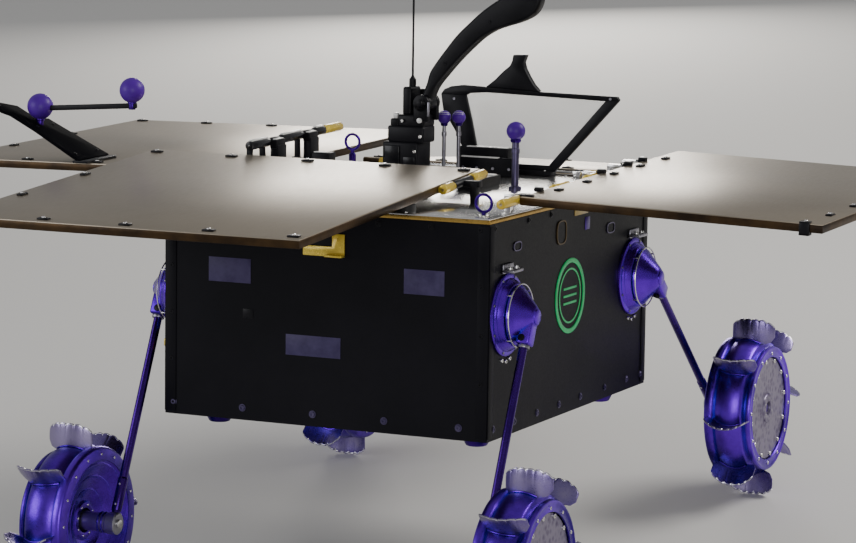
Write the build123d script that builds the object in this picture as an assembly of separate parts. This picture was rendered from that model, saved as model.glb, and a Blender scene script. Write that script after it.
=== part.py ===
from build123d import *
import math
import os

# Four-wheeled planetary rover prototype: a box chassis carried by four
# swinging legs, each with a driven metal wheel with curved blades.
# Millimetres. Body frame: X to the side with the round emblem, Y from the
# face with the two front legs to the rear, Z up, origin at the middle of the
# box's floor. The body is drawn there, then set nose-up on its legs.

# ---------------------------------------------------------------- chassis
BOX_W, BOX_D, BOX_H = 376.0, 440.0, 231.0
WALL = 6.0                    # wall panel thickness
DECK_T = 6.0                  # deck plate thickness
FLOOR_T = 6.0
EDGE_GAP = 0.2                # gap between neighbouring wall panels

# ---------------------------------------------------------------- legs
LEG_L = 262.7                 # shoulder axis to wheel axis
SH_Y, SH_Z = 176.0, 127.5     # shoulder axes, before and behind the middle
ANG_FRONT, ANG_REAR = 24.5, 49.1      # from the vertical, outwards
LEG_X = BOX_W / 2 + 26.0      # plane of the leg tubes
TUBE_R = 4.5
FLANGE_R, FLANGE_T = 43.0, 3.5
HOUSING_R0, HOUSING_R1, HOUSING_T = 38.0, 33.0, 8.5
CONE_X0 = BOX_W / 2 + FLANGE_T + HOUSING_T + 0.5
CONE_R0, CONE_R1, CONE_LEN = 31.5, 9.5, 22.0

# ---------------------------------------------------------------- wheels
WHEEL_R = 106.0               # over the blades
BLADES = 8
TREAD_R = 82.0
WHEEL_X0 = LEG_X + 25.0       # inboard side of the blades
BLADE_W = 52.0
TREAD_W = 54.0
TREAD_X0 = LEG_X + 19.0       # inboard side of the tread
AXLE_R = 6.0
REST_PHASE = 0.0              # a blade stands straight up, and one on the ground
AXLE_Z = WHEEL_R              # wheel axis above the ground

# ---------------------------------------------------------------- stance
yf = -SH_Y - LEG_L * math.sin(math.radians(ANG_FRONT))
zf = SH_Z - LEG_L * math.cos(math.radians(ANG_FRONT))
yr = SH_Y + LEG_L * math.sin(math.radians(ANG_REAR))
zr = SH_Z - LEG_L * math.cos(math.radians(ANG_REAR))
PITCH = math.degrees(math.atan2(zr - zf, yr - yf))
cp, sp = math.cos(math.radians(PITCH)), math.sin(math.radians(PITCH))
LIFT = AXLE_Z - (zf * cp - yf * sp)
SHIFT_X, SHIFT_Y = 30.29, -105.27      # puts the middle of the whole at X = Y = 0

hx, hy = BOX_W / 2, BOX_D / 2
total = {}


def put(shape):
    """Body frame to the stored frame."""
    return Pos(SHIFT_X, SHIFT_Y, LIFT) * Rot(-PITCH, 0, 0) * shape


def box(x0, x1, y0, y1, z0, z1):
    return Pos((x0 + x1) / 2, (y0 + y1) / 2, (z0 + z1) / 2) * Box(
        abs(x1 - x0), abs(y1 - y0), abs(z1 - z0))


def cyl_x(x0, x1, y, z, r):
    return Pos((x0 + x1) / 2, y, z) * Rot(0, 90, 0) * Cylinder(r, abs(x1 - x0))


def cone_x(x0, x1, y, z, r0, r1):
    """Frustum about X, radius r0 at x0 and r1 at x1."""
    lo, hi = (r0, r1) if x1 > x0 else (r1, r0)
    a, b = min(x0, x1), max(x0, x1)
    return Pos((a + b) / 2, y, z) * Rot(0, 90, 0) * Cone(lo, hi, b - a)


def cyl_y(x, y0, y1, z, r):
    return Pos(x, (y0 + y1) / 2, z) * Rot(90, 0, 0) * Cylinder(r, abs(y1 - y0))


def cyl_z(x, y, z0, z1, r):
    return Pos(x, y, (z0 + z1) / 2) * Cylinder(r, z1 - z0)


def mirror_x(shape, s):
    return shape if s > 0 else mirror(shape, about=Plane.YZ)


def save(name, *shapes):
    solids = []
    for s in shapes:
        solids.extend(s.solids())
    out = solids[0] if len(solids) == 1 else Compound(children=solids)
    export_step(out, "parts/" + name + ".step")
    total[name] = out.bounding_box()


os.makedirs("parts", exist_ok=True)

# ---------------------------------------------------------------- body
g = EDGE_GAP
top = BOX_H - DECK_T - g
save("front_wall", put(box(-hx, hx, -hy, -hy + WALL, 0, top)))
save("rear_wall", put(box(-hx, hx, hy - WALL, hy, 0, top)))
save("left_wall", put(box(-hx, -hx + WALL, -hy + WALL + g, hy - WALL - g, 0, top)))
save("right_wall", put(box(hx - WALL, hx, -hy + WALL + g, hy - WALL - g, 0, top)))
save("floor_plate", put(box(-hx + WALL + g, hx - WALL - g, -hy + WALL + g, hy - WALL - g, 0, FLOOR_T)))
save("deck_plate", put(box(-hx, hx, -hy, hy, BOX_H - DECK_T, BOX_H)))
save("battery_block", put(box(-110, 110, -120, 120, FLOOR_T, 110)))

# conical pads under the floor: x, y
PADS = ((-135, -196), (166, -196), (-150, 185), (172, 125))
save("floor_pads", *[put(Pos(x, y, -4) * Cone(11.5, 14.5, 8)) for x, y in PADS])

# round emblem on the right wall, and a bent tab on the front wall
EMB_Y, EMB_Z, EMB_R = -5.0, 127.0, 41.0
save("emblem_ring", put(cyl_x(hx, hx + 1.2, EMB_Y, EMB_Z, EMB_R) - cyl_x(hx - 1, hx + 3, EMB_Y, EMB_Z, EMB_R - 6)))
tab = box(-24, 24, -hy - 2, -hy, 181, 191.5) + box(9.7, 24, -hy - 2, -hy, 181, 205) + box(4, 24, -hy - 9, -hy, 181, 183.5)
save("front_tab", put(tab))

# ---------------------------------------------------------------- legs
# columns: name, side (+1 or -1 in X), shoulder y, angle (+ leans back)
CORNERS = (
    ("front_right", 1, -SH_Y, -ANG_FRONT),
    ("front_left", -1, -SH_Y, -ANG_FRONT),
    ("rear_right", 1, SH_Y, ANG_REAR),
    ("rear_left", -1, SH_Y, ANG_REAR),
)

housings = []
for name, s, sy, ang in CORNERS:
    fl = cyl_x(s * hx, s * (hx + FLANGE_T), sy, SH_Z, FLANGE_R)
    fr = cone_x(s * (hx + FLANGE_T), s * (hx + FLANGE_T + HOUSING_T), sy, SH_Z, HOUSING_R0, HOUSING_R1)
    housings.append(put(fl + fr))
save("shoulder_housings", *housings)


def on_leg(shape, sy, ang):
    """Leg frame: shoulder axis at y = z = 0, tube pointing down -Z."""
    return put(Pos(0, sy, SH_Z) * Rot(ang, 0, 0) * shape)


def wheel_profile():
    """Half section of the rim in (x, r): inboard lip, crowned tread, notch
    and outboard ring."""
    a = TREAD_X0
    with BuildSketch(Plane.XY) as sk:
        with BuildLine():
            Polyline((a + 44, 77.5), (a + 46.5, 70.5), (a + 49, 72.6), (a + 53, 72.6), (a + 54, 71),
                     (a + 54, 60), (a + 51, 60), (a + 51, 67.5), (a + 43, 67.5), (a + 42, 73))
            ThreePointArc((a + 42, 73), (a + 28, TREAD_R - 4.5), (a + 13, 73.5))
            Polyline((a + 13, 73.5), (a + 3, 75), (a + 3, 66), (a, 66), (a, 77), (a + 2, 80), (a + 10, 79.5),
                     (a + 12, 77.5))
            ThreePointArc((a + 12, 77.5), (a + 28, TREAD_R), (a + 44, 77.5))
        make_face()
    return sk.sketch


def blade():
    """One curved blade across the tread, standing on its outside."""
    t, sag = 3.0, 10.0
    x0, x1 = WHEEL_X0, WHEEL_X0 + BLADE_W
    xm = (x0 + x1) / 2
    with BuildSketch(Plane.XY) as sk:           # (x, tangential)
        with BuildLine():
            ThreePointArc((x0, 0), (xm, -sag), (x1, 0))
            Line((x1, 0), (x1, t))
            ThreePointArc((x1, t), (xm, t - sag), (x0, t))
            Line((x0, t), (x0, 0))
        make_face()
    strip = Pos(0, sag / 2, TREAD_R - 9) * extrude(sk.sketch, 40)
    # outline: foot inside the tread, shoulders, flat crown at the full radius
    with BuildSketch(Plane.XZ) as ol:
        with BuildLine():
            Line((x0, 76), (x0, 95))
            ThreePointArc((x0, 95), (x0 + 2.5, 102), (x0 + 8, WHEEL_R))
            Line((x0 + 8, WHEEL_R), (x1 - 8, WHEEL_R))
            ThreePointArc((x1 - 8, WHEEL_R), (x1 - 2.5, 102), (x1, 95))
            Polyline((x1, 95), (x1, 84), (x1 - 4, 78), (x1 - 13, 75), (x0 + 5, 75), (x0, 76))
        make_face()
    return strip & extrude(ol.sketch, 30, both=True)


one = blade()
rim_all = revolve(wheel_profile(), Axis.X, 360)
for k in range(BLADES):
    rim_all = rim_all + Rot(REST_PHASE + 45.0 * k, 0, 0) * one

x_face = TREAD_X0 + TREAD_W - 3.5          # outboard face of the hub disc
disc = cyl_x(x_face - 3, x_face, 0, 0, 59.7) + cyl_x(x_face - 20, x_face + 2, 0, 0, 14)
disc = disc - cyl_x(x_face - 30, x_face + 10, 0, 0, AXLE_R + 0.05)
# inboard dish: a shallow cone that closes the wheel towards the leg
dish_o = cone_x(TREAD_X0 + 1, TREAD_X0 + 19, 0, 0, 65.7, 20) + cyl_x(TREAD_X0 + 15, TREAD_X0 + 24, 0, 0, 20)
dish_i = cone_x(TREAD_X0 - 2, TREAD_X0 + 15.5, 0, 0, 65.7, 19)
dish = dish_o - dish_i - cyl_x(TREAD_X0, TREAD_X0 + 40, 0, 0, 13)
# stub axle on the leg, with its bearing boss inside the dish
axle = cyl_x(LEG_X - 6, LEG_X + 6, 0, 0, 12)
axle = axle + cyl_x(LEG_X + 6, TREAD_X0 + 25, 0, 0, 10.5) + cyl_x(TREAD_X0 + 25, x_face - 1, 0, 0, AXLE_R)
axle = axle - cyl_z(LEG_X, 0, 6, 20, TUBE_R + 0.05)

for name, s, sy, ang in CORNERS:
    cone = cone_x(CONE_X0, CONE_X0 + CONE_LEN, 0, 0, CONE_R0, CONE_R1)
    cone = cone + cyl_x(CONE_X0 + CONE_LEN, CONE_X0 + CONE_LEN + 2, 0, 0, 8.5)
    cone = cone + box(LEG_X - 7, LEG_X + 8, -8, 8, -32, -6)
    cone = cone - cyl_z(LEG_X, 0, -40, -14, TUBE_R + 0.05)
    save("leg_cone_" + name, on_leg(mirror_x(cone, s), sy, ang))
    tube = cyl_z(LEG_X, 0, -LEG_L + 6.1, -14.1, TUBE_R) + cyl_z(LEG_X, 0, -LEG_L + 13.5, -LEG_L + 50, 5.4)
    save("leg_tube_" + name, on_leg(mirror_x(tube, s), sy, ang))
    save("stub_axle_" + name, on_leg(mirror_x(Pos(0, 0, -LEG_L) * axle, s), sy, ang))
    wy = sy + LEG_L * math.sin(math.radians(ang))
    wz = SH_Z - LEG_L * math.cos(math.radians(ang))
    at = Pos(SHIFT_X, wy * cp + wz * sp + SHIFT_Y, wz * cp - wy * sp + LIFT)
    save("wheel_" + name, at * mirror_x(rim_all, s))
    save("hub_disc_" + name, at * mirror_x(disc, s))
    save("hub_dish_" + name, at * mirror_x(dish, s))

# ---------------------------------------------------------------- panels
PAN_T = 9.0
BAR_R, KNUCKLE_R, PIN_R = 4.5, 4.2, 2.2     # hinge barrels, knuckles and pin
# columns: name, corner x, y, top z, tilt about X, tilt about Y, and the
# plate's extent from that corner in x (lo, hi) and y (lo, hi)
PANELS = {
    "front": (97.0, -40.0, 262.0, 4.3, 0.0, (-401.0, 0.0), (-430.0, 0.0)),
    "right": (202.0, -178.0, 251.0, 1.28, 1.63, (0.0, 326.0), (0.0, 453.0)),
    "left": (-192.0, -30.0, 243.0, 1.28, -0.9, (-396.5, 0.0), (0.0, 453.0)),
    "rear": (0.0, 230.0, 238.0, -4.8, 0.0, (-175.0, 175.0), (0.0, 408.0)),
}
# hinge lines beside the plates: side the line lies on, its height over the
# plate's top, barrels on the plate (lo, hi along the line), knuckles on the
# deck (middle along it), their width, and the stretches where a strap joins
# barrel and plate
HINGES = {
    "front": ("+x", -4.5, ((-110.0, -85.0), (-37.0, -4.0)), (-61.0,), 44.0,
              ((-110.0, -85.0), (-37.0, -4.0))),
    "right": ("-x", -4.5, ((-37.0, 7.0), (100.0, 140.0), (190.0, 218.0)), (28.0, 239.0, 312.0, 357.0), 14.0,
              ((0.0, 7.0), (100.0, 140.0), (190.0, 218.0))),
    "left": ("+x", 28.0, ((-3.0, 42.0), (73.0, 125.0), (156.0, 224.0)), (57.5, 139.0), 22.0,
             ((2.0, 40.0), (119.0, 125.0), (156.0, 162.0))),
    "rear": ("-y", -4.5, ((-150.0, -115.0), (115.0, 150.0)), (-105.0, 105.0), 14.0,
             ((-150.0, -115.0), (115.0, 150.0))),
}
# feet of the knuckles: middle's distance from the plate's corner, extent
# across and along the hinge line
FEET = {"front": (20.0, 8.0, 8.0), "right": (24.0, 8.0, 8.0), "left": (10.0, 10.0, 21.0), "rear": (17.0, 8.0, 8.0)}


def at_panel(n, shape):
    x, y, z, rx, ry, _, _ = PANELS[n]
    return put(Pos(x, y, z) * Rot(rx, ry, 0) * shape)


knuckles = []
for n, (px, py, pz, rx, ry, ex, ey) in PANELS.items():
    save("solar_panel_" + n, at_panel(n, box(ex[0], ex[1], ey[0], ey[1], -PAN_T, 0)))
    side, lz, bars, knobs, kw, straps = HINGES[n]
    off = {"+x": (5.0, 0), "-x": (-5.0, 0), "-y": (0, -5.0)}[side]
    lo = min([b[0] for b in bars] + [k - kw / 2 for k in knobs])
    hi = max([b[1] for b in bars] + [k + kw / 2 for k in knobs])

    def line(a, b, r):
        if side == "-y":
            return Pos((a + b) / 2, off[1], lz) * Rot(0, 90, 0) * Cylinder(r, b - a)
        return cyl_y(off[0], a, b, lz, r)

    h = line(lo, hi, PIN_R)
    for a, b in bars:
        h = h + line(a, b, BAR_R)
    for a, b in straps:
        if lz > 0:                     # bracket standing on the plate
            h = h + box(-5, off[0], a, b, 0, lz)
        elif side == "-y":
            h = h + box(a, b, off[1], 0, -7, -2)
        else:
            h = h + box(off[0], 0, a, b, -7, -2)
    save("panel_hinge_" + n, at_panel(n, h))
    for k in knobs:
        a, b = k - kw / 2, k + kw / 2
        kn = line(a, b, KNUCKLE_R)
        if side == "-y":
            kn = kn + box(a + 2, b - 2, -22, -5, -6.6, -2)
        elif n == "left":
            kn = kn + box(5, 14, a, b, lz - 8, lz + 2)
        elif side == "+x":
            kn = kn + box(5, 27, a + 18, b - 18, -8.5, -2)
        else:
            kn = kn + box(-28, -5, a + 2, b - 2, -8.5, -2)
        kn = kn - line(a - 1, b + 1, PIN_R + 0.05)
        kn = at_panel(n, kn)
        # foot down to the deck, in the body frame
        fd, f_across, f_along = FEET[n]
        cx, cy = (px + (fd if side == "+x" else -fd), py + k) if side != "-y" else (px + k, py - fd)
        fw = (f_along, f_across) if side == "-y" else (f_across, f_along)
        lift = {"front": 0.075 * k, "right": 0.0223 * k, "left": 0.0223 * k + lz, "rear": 0.0}[n]
        foot = put(box(cx - fw[0] / 2, cx + fw[0] / 2, cy - fw[1] / 2, cy + fw[1] / 2, BOX_H, pz - 4.0 + lift))
        knuckles.append(kn + foot)
save("hinge_blocks", *knuckles)

# rubber pad under the front panel, on the deck's front edge
save("rest_pad", put(cyl_z(86, -202, BOX_H, 239.8, 9.5)))
# corner fitting on the right panel's near edge
save("corner_fitting", at_panel("right", box(302, 313, -3.2, 0, -12, 2)
                                + box(302, 313, -3.2, 6, 0, 2) + box(302, 313, -3.2, 6, -12, -PAN_T)))

# ---------------------------------------------------------------- deck
# lifting eyes: x, y, ring height above the deck
EYES = ((174.0, -205.0, 14.0), (-175.5, 203.0, 26.5))
EYE_R, EYE_HOLE, EYE_T = 10.5, 7.2, 4.0
eyes = []
for ex, ey, ez in EYES:
    z = BOX_H + ez
    e = cyl_y(ex, ey - EYE_T / 2, ey + EYE_T / 2, z, EYE_R)
    e = e + cyl_z(ex, ey, BOX_H + 1, z - 8.5, 2.2) + cyl_z(ex, ey, BOX_H, BOX_H + max(ez - 13.5, 2.0), 4.2)
    eyes.append(put(e - cyl_y(ex, ey - 5, ey + 5, z, EYE_HOLE)))
save("lifting_eyes", *eyes)

# a stepped box before the rear frame, and two low ones
gear = box(-22, 45, 166, 180, BOX_H, 252) + box(-30, 32, 180, 197, BOX_H, 262)
save("equipment_box", put(gear), put(box(44, 66, 16, 84, BOX_H, 243)), put(box(-176, -154, 97, 116, BOX_H, 254)))

# upright markers: x, y, ball height above deck, ball radius, post radius
MARKERS = ((-34.0, 150.0, 66.0, 7.8, 2.2), (-16.0, 150.0, 67.0, 7.8, 2.2), (98.0, 50.0, 64.7, 10.4, 4.0))
posts, balls = [], []
for x, y, h, r, pr in MARKERS:
    posts.append(put(cyl_z(x, y, BOX_H, BOX_H + h - r + 0.8, pr) + cyl_z(x, y, BOX_H, BOX_H + 4, pr + 3)))
    balls.append(put(Pos(x, y, BOX_H + h) * Sphere(r) - cyl_z(x, y, BOX_H, BOX_H + h - r + 0.8, pr)))
save("marker_posts", *posts)
save("marker_balls", *balls)

# ---------------------------------------------------------------- mast
AX, AY, AZ = -38.0, 110.0, 316.0      # the arm's tilt pin, along Y
PIN_MAST_R = 4.0
ARM_W = 18.0                          # arm's width across its plane
GAP = ARM_W / 2 + 0.6                 # half the fork's opening
# blocks of the mount: x from, x to, half depth in y, z from, z to
MOUNT = (
    (-84, -40, 18, BOX_H, 272),
    (-79, -34, 16, 272, 290),
    (-67, -34, 15, 290, 303),
    (-62, -51, 13, 303, 334),
)
mount = None
for x0, x1, half, z0, z1 in MOUNT:
    b = box(x0, x1, AY - half, AY + half, z0, z1)
    mount = b if mount is None else mount + b
for s in (-1, 1):
    y0 = AY + s * GAP
    mount = mount + box(-47.4, AX + 9, y0, y0 + s * 6, 296, AZ) + cyl_y(AX, y0, y0 + s * 6, AZ, 10)
# tilt motor's housing behind the fork
mount = mount + box(-66, -45.5, AY + GAP + 5, AY + GAP + 17, 296, 330) + box(-66, -40, AY + 14, AY + GAP + 17, 290, 300)
mount = mount - cyl_y(AX, AY - 30, AY + 30, AZ, PIN_MAST_R + 0.05)
save("mast_mount", put(mount))
# the arm's two outlines from pin to head, in the X-Z plane through its pin
ARM_LO = ((-23.5, 333.6), (-10.9, 349.4), (3.6, 365.5), (18.0, 379.5), (32.5, 392.1), (46.9, 400.7), (61.3, 405.9),
          (75.8, 410.4), (90.1, 416.9), (98.0, 424.4), (102.5, 436.5))
ARM_HI = ((-35.9, 337.2), (-32.3, 349.5), (-26.5, 359.2), (-14.9, 374.5), (-0.4, 392.5), (14.1, 406.5), (29.9, 420.4),
          (48.7, 433.7), (66.4, 443.9), (80.3, 450.0))
with BuildSketch(Plane.XZ) as ap:
    with BuildLine():
        Polyline((AX + 7, AZ), *ARM_LO, (99.0, 449.0), *reversed(ARM_HI), (AX - 7, AZ), close=True)
    make_face()
arm = Pos(0, AY, 0) * extrude(ap.sketch, ARM_W / 2, both=True)
arm = arm + cyl_y(AX, AY - ARM_W / 2, AY + ARM_W / 2, AZ, 9.5) + cyl_y(AX, AY - 20, AY + 20, AZ, PIN_MAST_R)
arm = arm + cyl_z(90, AY, 436, 452, 10)
save("mast_arm", put(arm))
head = box(74, 106, AY - 30, AY + 30, 455, 494) + cyl_z(90, AY, 452.1, 455, 10)
for dx, dz, r in ((-16, 474, 11), (15, 474, 11), (0, 462, 4)):
    head = head + Pos(0, AY + dx, 0) * cyl_x(106, 114, 0, dz, r)
save("mast_head", put(head))
ROD_X = -55.5
save("whip_antenna", put(cyl_z(ROD_X, AY, 334, 560, 1.3) + cyl_z(ROD_X, AY, 334, 343, 4)))

# ---------------------------------------------------------------- rear frame
FY = 206.0
outer = ((-63, 319), (-59, 324.4), (-50, 328.2), (-35, 330.3), (-20, 329.8), (60.4, 326.6), (155, 325.1), (157.5, 321),
         (80, 236), (-26, 236), (-33.5, 255), (-45, 278), (-60, 300))
inner = ((-32, 318.5), (-27, 321.2), (-5, 322.9), (55, 321.6), (140.5, 319.5), (73, 243), (-15, 243), (-19, 265), (-24.5, 290))
with BuildSketch(Plane.XZ) as fo:
    with BuildLine():
        Polyline(*outer, close=True)
    make_face()
with BuildSketch(Plane.XZ) as fi:
    with BuildLine():
        Polyline(*inner, close=True)
    make_face()
ring = extrude(fo.sketch, 3, both=True) - extrude(fi.sketch, 6, both=True)
frame = Pos(0, FY, 0) * ring + box(-22, 78, FY - 8, FY + 8, BOX_H, 237)
save("rear_frame", put(frame))
inset = ((-31.4, 318.2), (-26.7, 320.8), (-5, 322.5), (55, 321.2), (139.4, 319.1), (72.7, 243.4), (-14.7, 243.4), (-18.6, 265.1),
         (-24.1, 290.1))
with BuildSketch(Plane.XZ) as fp:
    with BuildLine():
        Polyline(*inset, close=True)
    make_face()
save("frame_pane", put(Pos(0, FY, 0) * extrude(fp.sketch, 1, both=True)))
horn = ((-6, 329.4), (60, 326.8), (47, 343), (40, 359), (43.5, 368), (27.5, 367.5), (23, 354.4), (15.5, 348.4))
with BuildSketch(Plane.XZ) as hp:
    with BuildLine():
        Polyline(*horn, close=True)
    make_face()
save("frame_horn", put(Pos(0, FY, 0) * extrude(hp.sketch, 5, both=True)))

# marker plate on the left panel: a foot, a plate that leans outwards and
# narrows in steps, and a rod with two balls
BAR_Y = 0.0
LEAN = 27.0                           # the plate's slope against the panel
LEANING = ((0, -33), (0, 33), (86, 28.5), (92, 9), (120, 10), (134, -14), (134, -28), (116, -28), (108, -22), (70, -23))
with BuildSketch(Plane.XY) as bp:
    with BuildLine():
        Polyline(*[(-s, y) for s, y in LEANING], close=True)
    make_face()
leaning = Pos(-214, 30, 0.6) * Rot(0, LEAN, 0) * extrude(bp.sketch, 4)
foot_bar = box(-222, -202, -3, 63, 0, 3)
BAR_BALLS = ((-476.0, 299.0, 15.0, 276.0), (-355.0, 323.0, 14.4, 301.0))
arm_bar = Pos(-410, BAR_Y, 301.5) * Rot(0, -4, 0) * Box(122, 5, 6)
for x, z, r, z0 in BAR_BALLS:
    arm_bar = arm_bar + cyl_z(x, BAR_Y, z0, z - r + 1.0, 4.0) + Pos(x, BAR_Y, z) * Sphere(r)
save("marker_bar", at_panel("left", leaning + foot_bar) + put(arm_bar))

lo = Vector(min(b.min.X for b in total.values()), min(b.min.Y for b in total.values()), min(b.min.Z for b in total.values()))
hi = Vector(max(b.max.X for b in total.values()), max(b.max.Y for b in total.values()), max(b.max.Z for b in total.values()))
print("size", hi - lo)
print("middle", (hi + lo) / 2, "lowest", lo.Z, "lift", LIFT, "pitch", PITCH)
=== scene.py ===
import bpy
import bmesh
import math
from mathutils import Matrix, Vector


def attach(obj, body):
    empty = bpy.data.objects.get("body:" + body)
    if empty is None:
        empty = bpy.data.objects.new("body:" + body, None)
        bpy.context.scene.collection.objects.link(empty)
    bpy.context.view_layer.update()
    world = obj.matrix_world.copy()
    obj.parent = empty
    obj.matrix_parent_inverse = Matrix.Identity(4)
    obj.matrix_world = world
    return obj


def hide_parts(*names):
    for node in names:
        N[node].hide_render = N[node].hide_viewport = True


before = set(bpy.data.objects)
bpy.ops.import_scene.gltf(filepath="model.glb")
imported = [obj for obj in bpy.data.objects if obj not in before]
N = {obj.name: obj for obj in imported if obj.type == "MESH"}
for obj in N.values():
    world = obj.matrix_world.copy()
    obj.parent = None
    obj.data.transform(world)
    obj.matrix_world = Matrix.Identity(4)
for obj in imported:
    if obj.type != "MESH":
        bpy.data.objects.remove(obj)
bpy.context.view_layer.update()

# ---------------------------------------------------------------- frame
# the body frame of the rover, in millimetres, as in the record
PITCH, LIFT, SHIFT_X, SHIFT_Y = 5.804865, 188.155783, 30.29, -105.27
BW, BD, BH = 376.0, 440.0, 231.0
hx, hy = BW / 2, BD / 2
LEG_L, SH_Y, SH_Z = 262.7, 176.0, 127.5
ANG_F, ANG_R = 24.5, 49.1
LEG_X = hx + 26.0
WHEEL_R = 106.0

MM = Matrix.Diagonal((0.001, 0.001, 0.001, 1.0))
PLACE = Matrix.Translation((SHIFT_X / 1000, SHIFT_Y / 1000, LIFT / 1000))
BODY = PLACE @ Matrix.Rotation(math.radians(-PITCH), 4, "X") @ MM
cp, sp = math.cos(math.radians(PITCH)), math.sin(math.radians(PITCH))
CORNERS = (
    ("front_right", 1, -SH_Y, -ANG_F),
    ("front_left", -1, -SH_Y, -ANG_F),
    ("rear_right", 1, SH_Y, ANG_R),
    ("rear_left", -1, SH_Y, ANG_R),
)


def T(x, y, z):
    return Matrix.Translation((x, y, z))


def R(deg, axis):
    return Matrix.Rotation(math.radians(deg), 4, axis)


# ---------------------------------------------------------------- materials
def nodes_of(name):
    m = bpy.data.materials.new(name)
    m.use_nodes = True
    nt = m.node_tree
    b = nt.nodes["Principled BSDF"]
    return m, nt, b


def noise_node(nt, vec, scale, detail=4.0, rough=0.55, stretch=None):
    if stretch:
        mp = nt.nodes.new("ShaderNodeMapping")
        mp.inputs["Scale"].default_value = stretch
        nt.links.new(vec, mp.inputs["Vector"])
        vec = mp.outputs["Vector"]
    n = nt.nodes.new("ShaderNodeTexNoise")
    n.inputs["Scale"].default_value = scale
    n.inputs["Detail"].default_value = detail
    n.inputs["Roughness"].default_value = rough
    nt.links.new(vec, n.inputs["Vector"])
    return n


def ramp(nt, fac, stops):
    r = nt.nodes.new("ShaderNodeValToRGB")
    e = r.color_ramp.elements
    while len(e) < len(stops):
        e.new(0.5)
    for el, (p, c) in zip(e, stops):
        el.position = p
        el.color = (*c, 1.0) if len(c) == 3 else (c[0],) * 3 + (1.0,)
    nt.links.new(fac, r.inputs["Fac"])
    return r


def surface(name, c0, c1, rough, metal=1.0, big=9.0, fine=700.0, spread=(0.35, 0.65), var=0.10,
            bump=0.12, brushed=None, coat=0.0, coat_rough=0.2, dirt=None, spec=0.5, ior=1.45):
    """Two-tone finish with broad mottling, fine grain in gloss and height,
    and dust as a soft third tone."""
    m, nt, b = nodes_of(name)
    tc = nt.nodes.new("ShaderNodeTexCoord").outputs["Object"]
    a = noise_node(nt, tc, big, 5.0, 0.6)
    col = ramp(nt, a.outputs["Fac"], [(spread[0], c0), (spread[1], c1)]).outputs["Color"]
    f = noise_node(nt, tc, fine, 3.0, 0.6, brushed)
    if dirt:
        d = noise_node(nt, tc, big * 3.1, 8.0, 0.72)
        dr = ramp(nt, d.outputs["Fac"], [(dirt[1], (0.0,)), (min(dirt[1] + 0.16, 1.0), (1.0,))])
        mix = nt.nodes.new("ShaderNodeMix")
        mix.data_type = "RGBA"
        sc = nt.nodes.new("ShaderNodeMath")
        sc.operation = "MULTIPLY"
        sc.inputs[1].default_value = dirt[2]
        nt.links.new(dr.outputs["Color"], sc.inputs[0])
        nt.links.new(sc.outputs[0], mix.inputs["Factor"])
        nt.links.new(col, mix.inputs["A"])
        mix.inputs["B"].default_value = (*dirt[0], 1.0)
        col = mix.outputs["Result"]
    nt.links.new(col, b.inputs["Base Color"])
    mr = nt.nodes.new("ShaderNodeMapRange")
    mr.inputs["To Min"].default_value = max(rough - var, 0.03)
    mr.inputs["To Max"].default_value = min(rough + var, 1.0)
    g = nt.nodes.new("ShaderNodeMath")
    g.operation = "ADD"
    g.inputs[1].default_value = 0.0
    hmix = nt.nodes.new("ShaderNodeMath")
    hmix.operation = "MULTIPLY_ADD"
    hmix.inputs[1].default_value = 0.55
    nt.links.new(f.outputs["Fac"], hmix.inputs[0])
    half = nt.nodes.new("ShaderNodeMath")
    half.operation = "MULTIPLY"
    half.inputs[1].default_value = 0.45
    nt.links.new(a.outputs["Fac"], half.inputs[0])
    nt.links.new(half.outputs[0], hmix.inputs[2])
    mr.inputs["From Min"].default_value = 0.3
    mr.inputs["From Max"].default_value = 0.7
    nt.links.new(hmix.outputs[0], mr.inputs["Value"])
    nt.nodes.remove(g)
    nt.links.new(mr.outputs["Result"], b.inputs["Roughness"])
    bp = nt.nodes.new("ShaderNodeBump")
    bp.inputs["Strength"].default_value = bump
    bp.inputs["Distance"].default_value = 0.0004
    nt.links.new(f.outputs["Fac"], bp.inputs["Height"])
    nt.links.new(bp.outputs["Normal"], b.inputs["Normal"])
    b.inputs["Metallic"].default_value = metal
    b.inputs["Specular IOR Level"].default_value = spec
    b.inputs["IOR"].default_value = ior
    if coat:
        b.inputs["Coat Weight"].default_value = coat
        b.inputs["Coat Roughness"].default_value = coat_rough
    return m


DUST = (0.50, 0.45, 0.38)
# The violet in these metal colours, and in the darker violet, tread, blade, post and tube colours below, is painted
# light: it stands for the violet stage light on the parts, not for a dye or anodising.
M_VIOLET_LIT_METAL = surface("metal_painted_violet_light", (0.060, 0.004, 0.34), (0.18, 0.016, 0.80), 0.27, 1.0, 16, 900,
                   coat=0.08, coat_rough=0.20, dirt=(DUST, 0.64, 0.06))
M_VIOLET_DK = surface("violet_dark", (0.026, 0.002, 0.13), (0.080, 0.008, 0.34), 0.32, 1.0, 22, 800,
                      coat=0.08, coat_rough=0.25)
M_TREAD = surface("tread_metal", (0.040, 0.003, 0.26), (0.17, 0.022, 0.74), 0.31, 1.0, 11, 650,
                  spread=(0.40, 0.62), bump=0.18, coat=0.08, coat_rough=0.3, dirt=(DUST, 0.60, 0.14))
M_BLADE = surface("blade_metal", (0.10, 0.045, 0.34), (0.30, 0.25, 0.44), 0.30, 1.0, 13, 700,
                  spread=(0.36, 0.62), bump=0.15, coat=0.3, coat_rough=0.25, dirt=(DUST, 0.60, 0.16))
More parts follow.
